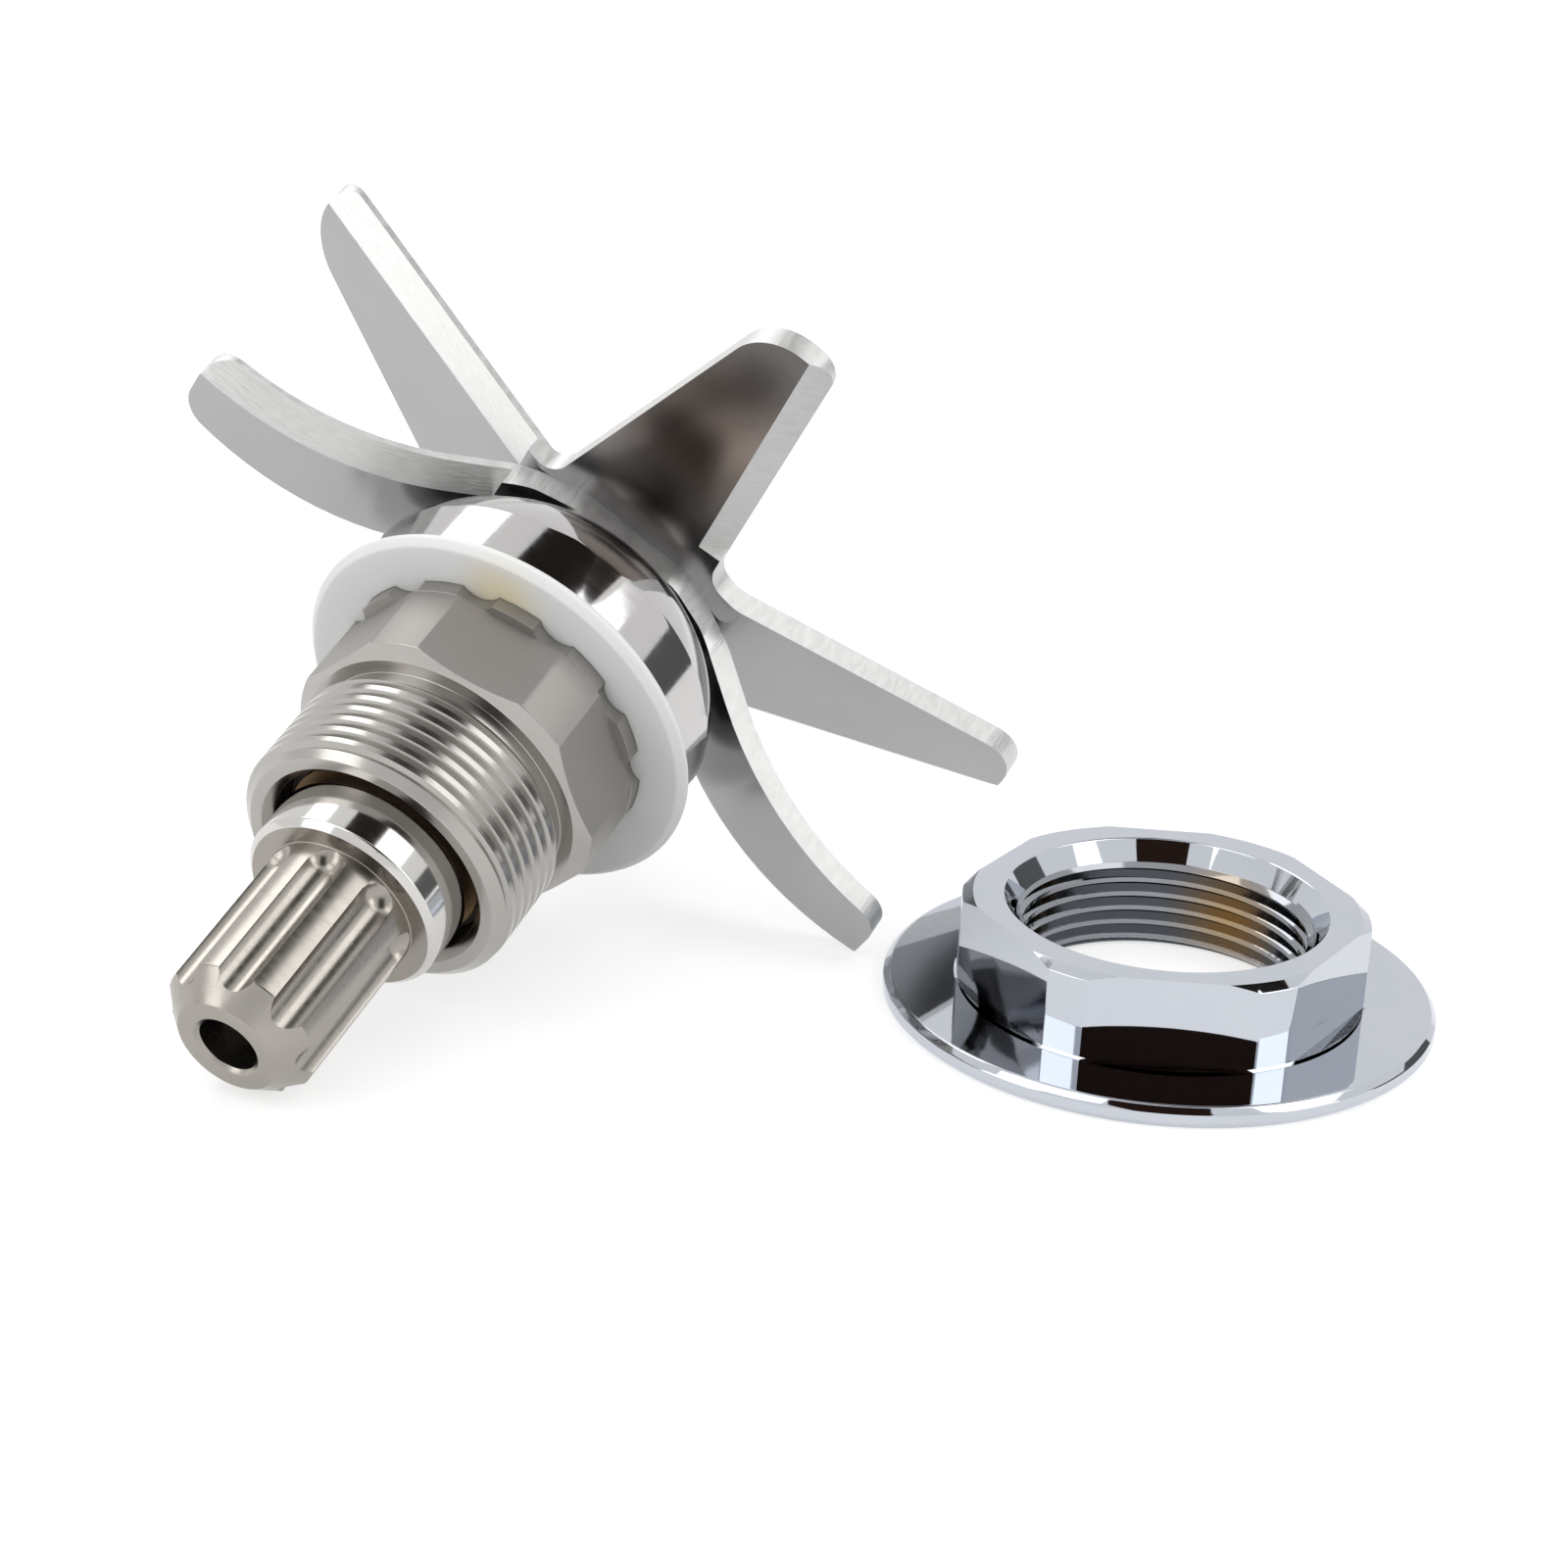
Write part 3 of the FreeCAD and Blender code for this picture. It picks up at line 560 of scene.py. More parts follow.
@dataclass(frozen=True)
class Finish:
    """What all finishes share: a name, two tones, a range of roughness and a tint round one point if there is
    one, which on the cross blade is a painted reflection.
    """

    name: str
    tone: Corner
    second_tone: Corner
    smooth: float
    rough: float
    tint_and_painted_reflection: TintAndPaintedReflection | None = field(default=None, kw_only=True)

    def material(self, frame: Frame) -> bpy.types.Material:
        """Makes the material with its patterns in a frame.

        Args:
            frame: Where the patterns' axis is.

        Returns:
            The material.
        """
        made, wiring, shader = new_material(self.name)
        self.dress(wiring, shader, frame.mapping(wiring))
        return made

    def dress(self, wiring: Wiring, shader: Node, place: Socket) -> None:
        """Wires the surface; each kind of finish has its own."""
        raise NotImplementedError

    def effect(self, wiring: Wiring, group: bpy.types.NodeTree, place: Socket,
               density: float) -> Socket:
        """Places an effect group and gives its share."""
        node = wiring.add("Group", node_tree=group, i0=place, i1=density)
        return node.outputs["Share"]

    def wire(self, wiring: Wiring, shader: Node, place: Socket, colour: Socket, roughness: Socket,
             height: Socket, depth: float) -> None:
        """Feeds shares from 0 to 1 into the shader, with the spot tint over the colour.

        Args:
            wiring: The material's wiring.
            shader: The material's shader.
            place: The place in the piece's frame.
            colour: How far the colour goes from the first tone to the second.
            roughness: How far the surface goes from smooth to rough.
            height: How far the surface rises.
            depth: How far it rises at most, in millimetres.
        """
        tone = wiring.blend(colour, self.tone, self.second_tone)
        # The spot tint goes over the tone; on the cross blade it is a painted reflection.
        if self.tint_and_painted_reflection:
            tone = self.tint_and_painted_reflection.over(wiring, place, tone)
        wiring.feed(shader.inputs["Base Color"], tone)
        wiring.feed(shader.inputs["Roughness"], wiring.spread(roughness, self.smooth, self.rough))
        node = wiring.add("Bump")
        wiring.feed(node.inputs["Height"], height)
        node.inputs["Strength"].default_value = 1.0
        node.inputs["Distance"].default_value = depth * MILLIMETRE
        wiring.feed(shader.inputs["Normal"], node.outputs[0])


@dataclass(frozen=True)
class TurnedMetal(Finish):
    """Bright metal with lathe rings and faint handling marks."""

    ring_density: float = 1.2
    ring_depth: float = 0.002
    mark_density: float = 0.12

    def dress(self, wiring: Wiring, shader: Node, place: Socket) -> None:
        """Rings move the roughness and the normal, marks move the colour."""
        rings = self.effect(wiring, turning_rings(), place, self.ring_density)
        marks = self.effect(wiring, handling_marks(), place, self.mark_density)
        shader.inputs["Metallic"].default_value = 1.0
        self.wire(wiring, shader, place, marks, rings, rings, self.ring_depth)


@dataclass(frozen=True)
class SheetMetal(Finish):
    """Rolled and tumbled sheet with an even satin grain."""

    grain_depth: float = 0.003
    grain_density: float = 7.0
    mark_density: float = 0.09

    def dress(self, wiring: Wiring, shader: Node, place: Socket) -> None:
        """Grain moves the roughness and the normal, marks move the colour."""
        marks = self.effect(wiring, handling_marks(), place, self.mark_density)
        grain = wiring.noise(place, self.grain_density, detail=3.0)
        shader.inputs["Metallic"].default_value = 1.0
        self.wire(wiring, shader, place, marks, marks, grain, self.grain_depth)


@dataclass(frozen=True)
class GroundMetal(Finish):
    """A freshly ground slope with crossing scratches."""

    scratch_depth: float = 0.012
    scratch_density: float = 1.2

    def dress(self, wiring: Wiring, shader: Node, place: Socket) -> None:
        """Scratches move the colour, the roughness and the normal."""
        scratches = self.effect(wiring, grinding_scratches(), place, self.scratch_density)
        shader.inputs["Metallic"].default_value = 1.0
        self.wire(wiring, shader, place, scratches, scratches, scratches, self.scratch_depth)


@dataclass(frozen=True)
class Silicone(Finish):
    """Milky silicone with a soft skin."""

    cloud_density: float = 0.1
    skin_density: float = 2.5
    skin_depth: float = 0.02
    milkiness: float = 0.35
    light_reach: float = 0.004
    light_scale: float = 0.5
    gloss: float = 0.4

    def dress(self, wiring: Wiring, shader: Node, place: Socket) -> None:
        """Clouds move the colour and the roughness, a fine skin moves the normal."""
        clouds = self.effect(wiring, handling_marks(), place, self.cloud_density)
        skin = wiring.noise(place, self.skin_density, detail=3.0)
        shader.inputs["Subsurface Weight"].default_value = self.milkiness
        shader.inputs["Subsurface Radius"].default_value = (self.light_reach,) * 3
        shader.inputs["Subsurface Scale"].default_value = self.light_scale
        shader.inputs["Specular IOR Level"].default_value = self.gloss
        self.wire(wiring, shader, place, clouds, clouds, skin, self.skin_depth)


@dataclass(frozen=True)
class Coarse(Finish):
    """Sintered, pressed or felted stuff, with grains of one size."""

    grain: float = 3.0
    depth: float = 0.05
    metal: float = 0.0

    def dress(self, wiring: Wiring, shader: Node, place: Socket) -> None:
        """Grains move the colour, the roughness and the normal."""
        grains = wiring.noise(place, self.grain, detail=4.0)
        shader.inputs["Metallic"].default_value = self.metal
        self.wire(wiring, shader, place, grains, grains, grains, self.depth)


THREAD_STEEL = TurnedMetal("thread_steel", (0.34, 0.328, 0.308), (0.46, 0.446, 0.424), 0.15, 0.27)
HOUSING_SATIN = SheetMetal("housing_satin", (0.335, 0.322, 0.303), (0.39, 0.377, 0.357), 0.48, 0.58)
HOUSING_POLISH = TurnedMetal("housing_polish", (0.50, 0.49, 0.485), (0.56, 0.55, 0.545), 0.05, 0.12,
                             1.5, 0.001)
# Painted shade: near-black metal inside the deep bore, where little light reaches.
BORE_PAINTED_SHADE = TurnedMetal("bore_steel", (0.05, 0.045, 0.04), (0.10, 0.09, 0.08), 0.35, 0.5)
SPLINE_STEEL = TurnedMetal("spline_steel", (0.27, 0.25, 0.222), (0.43, 0.405, 0.37), 0.18, 0.32, 1.2, 0.002)
COLLAR_STEEL = TurnedMetal("collar_steel", (0.55, 0.54, 0.52), (0.62, 0.61, 0.59), 0.06, 0.14, 1.5, 0.001)
BLADE_STEEL = SheetMetal("blade_steel", (0.345, 0.345, 0.35), (0.425, 0.425, 0.43), 0.18, 0.25, 0.0015)
# Painted reflection: a dark brown patch on the cross blade's underside, standing in for the dark room that
# the bright arm mirrors.
PAINTED_REFLECTION_STEEL = replace(BLADE_STEEL, name="tinted_blade_steel",
                       tint_and_painted_reflection=TintAndPaintedReflection((0.0, -27.0, 19.5), 24.0, (0.17, 0.115, 0.08), 0.75))
GROUND_STEEL = GroundMetal("ground_steel", (0.52, 0.52, 0.51), (0.80, 0.80, 0.79), 0.40, 0.56, 0.035)
# The gasket is tinted warm round one point of its inner edge.
GASKET_SILICONE = Silicone("gasket_silicone", (0.83, 0.84, 0.85), (0.90, 0.90, 0.89), 0.38, 0.52,
                           tint_and_painted_reflection=TintAndPaintedReflection((-6.0, -14.6, -1.8), 6.0, (0.88, 0.76, 0.50), 0.9))
NUT_CHROME = TurnedMetal("nut_chrome", (0.48, 0.51, 0.565), (0.56, 0.585, 0.63), 0.02, 0.05, 1.0, 0.0004)
# The nut's thread is tinted golden round one point on one side.
NUT_THREAD = TurnedMetal("nut_thread", (0.20, 0.215, 0.24), (0.32, 0.33, 0.35), 0.05, 0.10, 1.0, 0.0004,
                         tint_and_painted_reflection=TintAndPaintedReflection((7.6, 11.3, 4.5), 7.5, (0.40, 0.28, 0.14), 0.9))
BUSHING_BRONZE = Coarse("bushing_bronze", (0.16, 0.10, 0.05), (0.26, 0.17, 0.09), 0.4, 0.6, 4.0, 0.02, 1.0)
OIL_FELT = Coarse("oil_felt", (0.40, 0.35, 0.25), (0.62, 0.56, 0.42), 0.85, 1.0, 2.0, 0.15)
WASHER_FIBRE = Coarse("washer_fibre", (0.035, 0.022, 0.018), (0.07, 0.045, 0.035), 0.6, 0.8, 3.0, 0.03)
WASHER_STEEL = TurnedMetal("washer_steel", (0.40, 0.39, 0.38), (0.50, 0.49, 0.48), 0.22, 0.38)
SEAL_RUBBER = Coarse("seal_rubber", (0.012, 0.012, 0.012), (0.03, 0.03, 0.03), 0.45, 0.65, 5.0, 0.02)
FASTENER_STEEL = TurnedMetal("fastener_steel", (0.52, 0.51, 0.49), (0.62, 0.61, 0.59), 0.12, 0.24)


# Laying pieces down


@dataclass(frozen=True)
class Bench:
    """The two frames that pieces are laid in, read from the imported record."""

    stack: Frame
    nut: Frame

    @classmethod
    def from_record(cls, record: dict) -> "Bench":
        """Finds the stack and the nut from the record's joint and mounts.

        Args:
            record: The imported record.

        Returns:
            The bench.
        """
        spin = record["behaviour"]["joints"][0]
        mounts = {mount["name"]: mount for mount in record["mounts"]}
        origin = Vector(spin["pos_m"])
        along = Vector(spin["axis"]).normalized()
        aside = Vector(mounts["gasket_seat"]["pos_m"]) - origin
        aside = (aside - along * aside.dot(along)).normalized()
        stack = Matrix((aside, along.cross(aside), along)).transposed().to_4x4()
        stack.translation = origin
        centre = Vector(mounts["nut_thread"]["pos_m"])
        return cls(Frame(stack), Frame(Matrix.Translation((centre.x, centre.y, 0))))


def lay(piece: Piece, node: str, frame: Frame, body: str, finishes: Sequence[Finish]) -> None:
    """Scales a piece to metres, puts it in its place and dresses it.

    Args:
        piece: The piece in millimetres.
        node: The CAD node that it stands for.
        frame: Where it goes.
        body: The body that it rides on.
        finishes: One finish for each of its material slots.
    """
    piece.name = f"{node}_look"
    piece.data.name = piece.name
    piece.matrix_world = frame.matrix @ Matrix.Scale(MILLIMETRE, 4)
    settle(piece)
    bpy.ops.object.shade_smooth_by_angle(angle=SMOOTH_ANGLE)
    modifier = piece.modifiers.new("flat faces", "WEIGHTED_NORMAL")
    modifier.keep_sharp = True
    bpy.ops.object.modifier_apply(modifier=modifier.name)
    while len(piece.data.materials) < len(finishes):
        piece.data.materials.append(None)
    for index, finish in enumerate(finishes):
        piece.data.materials[index] = finish.material(frame)
    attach(piece, body)
    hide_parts(node)
    log.info("%s: %d faces", piece.name, len(piece.data.polygons))


# Sub-assemblies


@dataclass
class Housing:
    """The turned bearing housing and the gasket under its flange."""

    thread_radius: float = 14.0
    thread_chamfer: float = 1.2
    neck_length: float = 24.4
    hex_bottom: float = 11.8
    relief_width: float = 1.3
    relief_radius: float = 12.9
    across_flats: float = 29.6
    turned_radius: float = 15.75
    hex_chamfer: float = 1.5
    hex_chamfer_height: float = 0.9
    collar_height: float = 3.2
    collar_radius: float = 15.85
    lobes: int = 12
    lobe_place: float = 17.3
    lobe_radius: float = 2.5
    hex_turn: float = 14.8
    flange_radius: float = 19.0
    flange_edge: float = 0.4
    rim_height: float = 5.8
    dome_radius: float = 14.4
    crown_radius: float = 11.6
    crown_height: float = 15.0
    seal_radius: float = 10.0
    seal_seat: float = 4.5
    bore_radius: float = 8.0
    mouth_radius: float = 10.75
    mouth_depth: float = 4.0
    mouth_chamfer: float = 0.9
    fine_easing: float = 0.2
    soft_easing: float = 0.3
    facets: int = 160
    lobe_facets: int = 48
    pitch: float = 1.5
    thread_depth: float = 0.7
    thread_lead: float = 0.12
    thread_half_width: float = 0.52
    gasket_thickness: float = 1.8
    gasket_radius: float = 20.5
    gasket_edge: float = 0.7
    gasket_easing: float = 0.4
    gasket_tooth_easing: float = 0.15
    gasket_clearance: float = 0.05

    def dome(self, steps: int = 20) -> list[Corner]:
        """The dome's curve from the rim to the crown, without its ends.

        Args:
            steps: Edges in the curve.

        Returns:
            The (radius, height) points between the two ends.
        """
        start = Vector((self.flange_radius, self.rim_height))
        end = Vector((self.crown_radius, self.crown_height))
        chord = end - start
        depth = math.sqrt(self.dome_radius ** 2 - chord.length_squared / 4)
        centre = (start + end) / 2 + Vector((-chord.y, chord.x)).normalized() * depth
        first, sweep = start - centre, (start - centre).angle_signed(end - centre)
        points = []
        for step in range(1, steps):
            spoke = first.copy()
            spoke.rotate(Matrix.Rotation(-sweep * step / steps, 2))
            points.append((*(centre + spoke), 0.0))
        return points

    def blank(self) -> Piece:
        """Turns the housing before its hexagon, lobes and thread are cut."""
        slope = self.thread_radius - self.relief_radius
        relief_bottom = -self.hex_bottom - self.relief_width
        floor = self.mouth_depth - self.neck_length
        return turned("bearing_housing", [
            (self.mouth_radius + self.mouth_chamfer, -self.neck_length, self.fine_easing),
            (self.thread_radius - self.thread_chamfer, -self.neck_length, self.fine_easing),
            (self.thread_radius, self.thread_chamfer - self.neck_length),
            (self.thread_radius, relief_bottom - slope),
            (self.relief_radius, relief_bottom),
            (self.relief_radius, -self.hex_bottom),
            (self.turned_radius - self.hex_chamfer, -self.hex_bottom),
            (self.turned_radius, self.hex_chamfer_height - self.hex_bottom),
            (self.turned_radius, -self.collar_height),
            (self.collar_radius, -self.collar_height),
            (self.collar_radius, 0.0),
            (self.flange_radius - self.flange_edge, 0.0),
            (self.flange_radius, self.flange_edge, self.soft_easing),
            (self.flange_radius, self.rim_height, 0.0),
            *self.dome(),
            (self.crown_radius, self.crown_height, self.soft_easing),
            (self.seal_radius, self.crown_height, self.fine_easing),
            (self.seal_radius, self.seal_seat),
            (self.bore_radius, self.seal_seat),
            (self.bore_radius, floor),
            (self.mouth_radius, floor),
            (self.mouth_radius, self.mouth_chamfer - self.neck_length, self.fine_easing),
        ], steps=self.facets)

    def lobe_tools(self, radius: float, bottom: float, top: float) -> Piece:
        """Twelve round cutters that leave the collar's lobes."""
        return repeated(rod(radius, bottom, top, self.lobe_facets, self.lobe_place), self.lobes)

    def make_housing(self) -> Piece:
        """Cuts the hexagon, the lobes and the thread into the blank."""
        piece = self.blank()
        combine(piece, hexagon_trimmer(self.across_flats, self.flange_radius + 3 * MARGIN, -self.hex_bottom,
                                       -self.collar_height, self.hex_turn))
        combine(piece, self.lobe_tools(self.lobe_radius, -self.collar_height, 0.0))
        thread_end = -self.hex_bottom - self.relief_width / 2
        turns = round((thread_end + self.neck_length + self.pitch) / self.pitch)
        thread = Thread(self.thread_radius - self.thread_depth, self.thread_radius + self.thread_lead,
                        self.thread_half_width, self.pitch, thread_end - turns * self.pitch, turns)
        combine(piece, thread.cutter())
        hexagon_start = self.hex_chamfer_height - self.hex_bottom
        mark(piece, 1, lambda at, _: hexagon_start < at.z < NEAR)
        mark(piece, 2, lambda at, _: at.z > NEAR)
        # The bore, the seal recess and the mouth's wall take the fourth finish, which paints shade into the
        # deep hole.
        mark(piece, 3, lambda at, _: at.xy.length < self.mouth_radius + NEAR)
        return piece

    def make_gasket(self) -> Piece:
        """Cuts the wavy hole into a ring with eased edges."""
        edge, outer, thick = self.gasket_edge, self.gasket_radius, self.gasket_thickness
        hole = self.lobe_place - self.lobe_radius - 2 * MARGIN
        rim = [(outer - edge, -thick), (outer, edge - thick), (outer, -edge), (outer - edge, 0.0)]
        piece = turned("jar_gasket", [(hole, -thick, 0.0), *[(*corner, self.gasket_easing) for corner in rim],
                                      (hole, 0.0, 0.0)], steps=self.facets)
        core = rod(self.collar_radius + self.gasket_clearance, -2.5 * thick, 1.5 * thick, self.facets)
        combine(core, self.lobe_tools(self.lobe_radius - self.gasket_clearance, -4 * thick, 4 * thick))
        combine(piece, core)
        ease_edges(piece, self.gasket_tooth_easing)
        return piece

    def build(self, bench: Bench) -> None:
        """Makes both pieces and lays them down."""
        lay(self.make_housing(), "bearing_housing", bench.stack, "housing",
            [THREAD_STEEL, HOUSING_SATIN, HOUSING_POLISH, BORE_PAINTED_SHADE])
        lay(self.make_gasket(), "jar_gasket", bench.stack, "housing", [GASKET_SILICONE])


@dataclass
class Shaft:
    """The splined drive shaft."""

    below_flange: float = 48.8
    spline_length: float = 19.1
    spline_radius: float = 7.5
    groove_floor: float = 6.3
    groove_radius: float = 2.1
    teeth: int = 8
    spline_turn: float = 26.5
    chamfer: float = 2.5
    hole_radius: float = 2.95
    hole_depth: float = 12.0
    hole_edge: float = 0.4
    collar_radius: float = 9.9
    collar_edge: float = 0.6
    collar_end: float = -23.55
    journal_radius: float = 4.0
    flats_across: float = 6.4
    blade_seat: float = 17.05
    top: float = 32.35
    end_chamfer: float = 0.8
    end_easing: float = 0.25
    collar_easing: float = 0.3
    edge_easing: float = 0.12
    edge_angle: float = 32.0
    groove_roundness: float = 0.98
    groove_facets: int = 40

    def make(self) -> Piece:
        """Turns the shaft, then mills its spline and its flats."""
        end = -self.below_flange
        collar = end + self.spline_length
        piece = turned("drive_shaft", [
            (0.0, end + self.hole_depth),
            (self.hole_radius, end + self.hole_depth - self.hole_radius / 2),
            (self.hole_radius, end + self.hole_edge),
            (self.hole_radius + self.hole_edge, end),
            (self.spline_radius - self.chamfer, end, self.end_easing),
            (self.spline_radius, end + self.chamfer, self.end_easing),
            (self.spline_radius, collar),
            (self.collar_radius - self.collar_edge, collar),
            (self.collar_radius, collar + self.collar_edge, self.collar_easing),
            (self.collar_radius, self.collar_end - self.collar_edge, self.collar_easing),
            (self.collar_radius - self.collar_edge, self.collar_end),
            (self.journal_radius, self.collar_end),
            (self.journal_radius, self.top - self.end_chamfer),
            (self.journal_radius - self.end_chamfer, self.top),
            (0.0, self.top),
        ], closed=False)
        start = end - 5 * MARGIN
        groove = turned("groove", [
            (0.0, start, 0.0), (self.groove_radius, start, 0.0),
            (self.groove_radius, collar - NEAR, self.groove_radius * self.groove_roundness),
            (0.0, collar, 0.0),
        ], closed=False, steps=self.groove_facets)
        groove.location.x = self.groove_floor + self.groove_radius
        settle(groove)
        combine(piece, repeated(groove, self.teeth, -self.spline_turn))
        half, reach = self.flats_across / 2, self.journal_radius + 2 * MARGIN
        for side in (1, -1):
            inner, outer = side * half, side * reach
            flat = [(-reach, inner), (reach, inner), (reach, outer), (-reach, outer)]
            combine(piece, column(flat, self.blade_seat, self.top + MARGIN))
        ease_edges(piece, self.edge_easing, self.edge_angle)
        mark(piece, 1, lambda at, _: at.z > collar and at.xy.length > self.spline_radius)
        return piece

    def build(self, bench: Bench) -> None:
        """Makes the shaft and lays it down."""
        lay(self.make(), "drive_shaft", bench.stack, "rotor", [SPLINE_STEEL, COLLAR_STEEL])


@dataclass(frozen=True)
class Stretch:
    """A length of sheet: straight, or bent by an angle in degrees about a radius."""

    length: float = 0.0
    radius: float = 0.0
    angle: float = 0.0


def side_line(height: float, stretches: Sequence[Stretch], offset: float, steps: int = 14) -> list[Vector]:
    """The line of a bent sheet's side, seen across the arm.

    Args:
        height: The middle of the sheet at the shaft.
        stretches: The sheet's path outwards from the shaft.
        offset: How far the line lies above the middle.
        steps: Edges in each bend.

    Returns:
        (x, height) points.
    """
    here, heading = Vector((0.0, height)), 0.0
    points = [here + Vector((0.0, offset))]
    for stretch in stretches:
        parts = steps if stretch.angle else 1
        turn = math.radians(stretch.angle) / parts
        for _ in range(parts):
            if stretch.angle:
                chord = 2 * stretch.radius * math.sin(abs(turn) / 2)
            else:
                chord = stretch.length
            here = here + Vector((math.cos(heading + turn / 2), math.sin(heading + turn / 2))) * chord
            heading += turn
            points.append(here + Vector((-math.sin(heading), math.cos(heading))) * offset)
    return points


@dataclass
class Blade:
    """What both blades share: a bent sheet, trimmed to an outline, punched and ground."""

    bottom: float
    lead_root: float = 0.0
    lead_tip: float = 0.0
    grind_start: float = 13.2
    thickness: float = 2.5
    hole_radius: float = 4.05
    hole_flats: float = 6.5
    reach: float = 47.2
    edge_left: float = 0.5
    root_width: float = 2.8
    tip_width: float = 2.6
    cutter_length: float = 20.0
    upright: float = 0.1
    edge_easing: float = 0.14
    corner_steps: int = 12
    hole_steps: int = 16

    def sheet(self, name: str, stretches: Sequence[Stretch]) -> Piece:
        """The sheet, bent alike on both sides and wide enough for the outline."""
        half = self.thickness / 2
        top = side_line(self.bottom + half, stretches, half)
        under = side_line(self.bottom + half, stretches, -half)
        right = top + under[::-1]
        left = [Vector((-point.x, point.y)) for point in under[1:] + top[:0:-1]]
        outline = [Vector((point.x, -self.reach, point.y)) for point in right + left]
        piece = prism(name, outline, Vector((0, 2 * self.reach, 0)))
        piece.data.materials.append(None)
        return piece

    def trim(self, piece: Piece, corners: Sequence[Corner]) -> None:
        """Trims the sheet to its outline and punches its double-D hole."""
        combine(piece, column(rounded(corners, 0.0, steps=self.corner_steps), self.bottom - self.reach,
                              self.bottom + self.reach), Cut.KEEP)
        half = self.hole_flats / 2
        side = math.asin(half / self.hole_radius)
        spokes = [side + (math.pi - 2 * side) * step / self.hole_steps for step in range(self.hole_steps + 1)]
        arcs = [(math.sin(spoke), math.cos(spoke)) for spoke in spokes]
        ends = [(self.hole_radius * x, max(-half, min(half, self.hole_radius * y))) for x, y in arcs]
        outline = ends + [(-x, -y) for x, y in ends]
        combine(piece, column(outline, self.bottom - 2 * MARGIN, self.bottom + self.thickness + 2 * MARGIN))

    def grind(self, piece: Piece, stretches: Sequence[Stretch], reach: float, turn: float) -> None:
        """Grinds the underside of one leading edge.

        Args:
            piece: The blade.
            stretches: The arm's path.
            reach: How far the arm reaches.
            turn: The arm's angle in degrees.
        """
        start = self.grind_start
        inner_root, inner_tip = self.lead_root - self.root_width, self.lead_tip - self.tip_width
        slant = (inner_root - inner_tip) / (reach - start)
        rise = (self.thickness - self.edge_left) / self.tip_width
        line = side_line(self.bottom + self.thickness / 2, stretches, -self.thickness / 2)
        under = [point for point in line if point.x > start]
        before = line[line.index(under[0]) - 1]
        share = (start - before.x) / (under[0].x - before.x)
        under.insert(0, before.lerp(under[0], share))
        floor = min(point.y for point in under) - 8 * MARGIN
        under += [Vector((under[-1].x, floor)), Vector((start, floor))]
        arm = Matrix.Rotation(math.radians(turn), 3, "Z")
        tilt = Matrix.Rotation(math.radians(turn) - slant, 3, "Z")
        shift = arm @ Vector((0, inner_root + slant * start, 0))
        outline = [tilt @ Vector((point.x, 0, point.y)) + shift for point in under]
        along = tilt @ Vector((0, 1, rise)) * self.cutter_length
        combine(piece, prism("grinder", outline, along, finish_slot=1))

    def soften(self, piece: Piece) -> None:
        """Gives the sheared sides the ground finish and eases every edge."""
        mark(piece, 1, lambda _, normal: abs(normal.z) < self.upright)
        ease_edges(piece, self.edge_easing)


@dataclass
class CrossBlade(Blade):
    """Four arms from one sheet, two raised along X and two flat along Y."""

    flat_reach: float = 42.2
    raised_reach: float = 44.5
    lead_root: float = 8.1
    lead_tip: float = 5.2
    trail_root: float = 9.9
    trail_tip: float = 2.5
    lead_corner: float = 2.8
    trail_corner: float = 5.4
    crotch: float = 2.6
    bend_start: float = 10.8
    bend_radius: float = 4.0
    bend_angle: float = 22.9
    underside: float = -0.99

    def make(self) -> Piece:
        """Bends, trims, punches and grinds the blade."""
        raised = [Stretch(self.bend_start), Stretch(0, self.bend_radius, self.bend_angle),
                  Stretch(self.raised_reach)]
        piece = self.sheet("cross_blade", raised)
        corners = []
        for index in range(4):
            reach = self.flat_reach if index % 2 else self.raised_reach
            arm = [(reach, -self.trail_tip, self.trail_corner), (reach, self.lead_tip, self.lead_corner),
                   (self.trail_root, self.lead_root, self.crotch)]
            for x, y, radius in arm:
                at = Matrix.Rotation(math.radians(90 * index), 2) @ Vector((x, y))
                corners.append((at.x, at.y, radius))
        self.trim(piece, corners)
        flat = [Stretch(self.reach)]
        for index in range(4):
            stretches, reach = (flat, self.flat_reach) if index % 2 else (raised, self.raised_reach)
            self.grind(piece, stretches, reach, 90 * index)
        self.soften(piece)
        # The underside faces take the third finish, whose dark brown patch is a painted reflection.
        mark(piece, 2, lambda at, normal: normal.z < self.underside and at.z < self.bottom + MERGE)
        return piece


@dataclass
class LowerBlade(Blade):
    """Two arms that bend down and level out towards their tips."""

    arm_reach: float = 41.9
    lead_root: float = 7.0
    lead_tip: float = 6.0
    trail_root: float = 5.9
    trail_tip: float = 2.1
    tip_round: float = 3.0
    root_station: float = 12.0
    hub_width: float = 9.0
    hub_length: float = 6.0
    hub_round: float = 4.0
    neck_round: float = 6.0
    neck_length: float = 9.7
    bend_radius: float = 6.0
    bend_angle: float = 37.3
    slope_length: float = 5.7
    return_radius: float = 33.5
    return_angle: float = 46.0

    def make(self) -> Piece:
        """Bends, trims, punches and grinds the blade."""
        stretches = [Stretch(self.neck_length), Stretch(0, self.bend_radius, -self.bend_angle),
                     Stretch(self.slope_length), Stretch(0, self.return_radius, self.return_angle)]
        piece = self.sheet("lower_blade", stretches)
        half = [(self.arm_reach, -self.trail_tip, self.tip_round),
                (self.arm_reach, self.lead_tip, self.tip_round),
                (self.root_station, self.lead_root, self.neck_round),
                (self.hub_length, self.hub_width, self.hub_round),
                (-self.hub_length, self.hub_width, self.hub_round),
                (-self.root_station, self.trail_root, self.neck_round)]
        self.trim(piece, half + [(-x, -y, radius) for x, y, radius in half])
        for turn in (0, 180):
            self.grind(piece, stretches, self.arm_reach, turn)
        self.soften(piece)
        return piece


